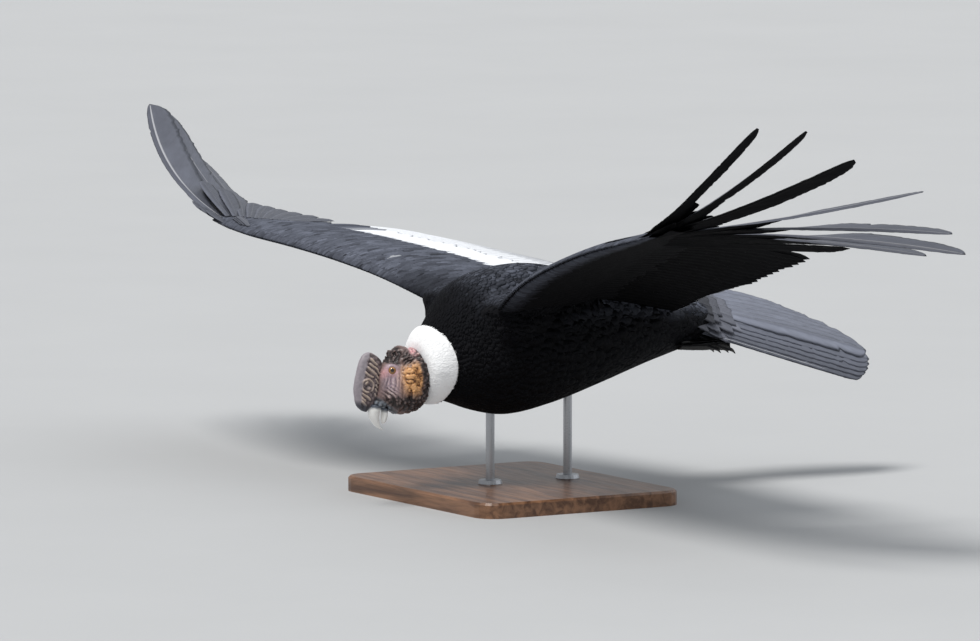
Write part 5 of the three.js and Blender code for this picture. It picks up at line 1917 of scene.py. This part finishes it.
def soften(piece, normals, share=0.75):
    """Down shows no hard relief: its shading follows the skin more than the tufts' own faces."""
    own = np.empty(3 * len(piece.data.vertices), np.float32)
    piece.data.vertex_normals.foreach_get("vector", own)
    mixed = unit(share * normals @ POSED.T + (1 - share) * own.reshape(-1, 3))
    piece.data.normals_split_custom_set_from_vertices(mixed)


def lay_down(surface, longer, rng):
    """A layer of down over the ruff, and the skin's normals at its points."""
    spots, normals = surface.scatter(
        lambda p: np.full(len(p), RUFF_GAP),
        lambda p: np.hypot(p[:, 0], p[:, 2] - ruff_middle(p[:, 1])) > RUFF_OPENING,
        rng,
    )
    away = from_ruff_axis(spots)
    across, up = away[:, 0], away[:, 2]
    side = (across**2 - up**2) / (across**2 + up**2 + 1)
    fringe = ramp(spots[:, 1] - RUFF_LEAN * side, -178, -168)
    length = longer * lerp(9, 13, fringe) * (1 + 0.15 * rng.standard_normal(len(spots)))
    lift = 0.05 + 0.3 * fringe * (rng.random(len(spots)) > 0.93)
    flock = Flock()
    lay_leaves(flock, surface, spots, normals, unit(away) * 0.5 + AFT, length,
               lerp(0.2, 0.12, fringe) * length, rng, lift=lift, rows=4, arch=0.02, spin=0.16,
               ragged=0.2, rim=0.9)
    return flock, np.repeat(normals, flock.count // len(normals), 0)


def make_ruff():
    rng = np.random.default_rng(61)
    surface = ruff_surface()
    core = down_material("down_core", 240.0, 5.0, (0.84, 0.85, 0.87), (0.93, 0.93, 0.94),
                         (0.25, 0.001))
    make_piece("ruff_core", "white_down", ["ruff"], surface.points, [surface.quads], [core])
    tuft = down_material("down_tuft", 500.0, 4.0, (0.94, 0.945, 0.955), (0.985, 0.985, 0.985),
                         (0.2, 0.0005), Sheen_Weight=0.25)
    for number, longer in enumerate((0.8, 1.0), 1):
        flock, normals = lay_down(surface, longer, rng)
        soften(flock.make(f"coat_ruff_{number}", "white_down", ["ruff"], [tuft]), normals)


make_ruff()


# Stand


def refine(node_name, material, width):
    """A solid of the stand gets its material and softer edges."""
    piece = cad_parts[node_name]
    piece.data.materials.clear()
    piece.data.materials.append(material)
    made = piece.modifiers.new("edge", "BEVEL")
    made.width = width
    made.segments = 3
    made.limit_method = "ANGLE"
    made.angle_limit = math.radians(35)


def wood_material():
    paint = Paint("stand_wood", Specular_IOR_Level=0.4, Coat_Weight=0.25, Coat_Roughness=0.2)
    grain = paint.speckle(4.0, 6.0, paint.stretched((1.2, 14, 14)), distortion=0.6)
    pores = paint.speckle(3.0, 3.0, paint.stretched((6, 240, 240)))
    grain = paint.between(grain, 0.35, 0.65)
    base = paint.blend(grain, (0.09, 0.04, 0.02), (0.25, 0.125, 0.065))
    base = paint.blend(paint.between(pores, 0.55, 0.75, 0.0, 0.5), base, (0.04, 0.018, 0.01))
    return paint.finish(base, (pores, 0.32, 0.5), (pores, 0.2, 0.0003))


def steel_material():
    paint = Paint("stand_steel", Metallic=1.0)
    brushed = paint.speckle(3.0, 3.0, paint.stretched((60, 60, 900)))
    base = paint.blend(brushed, (0.35, 0.36, 0.38), (0.5, 0.51, 0.53))
    return paint.finish(base, (brushed, 0.26, 0.42))


refine("stand_board", wood_material(), 0.002)
steel = steel_material()
for end in ("front", "rear"):
    refine(f"stand_rod_{end}", steel, 0.0008)
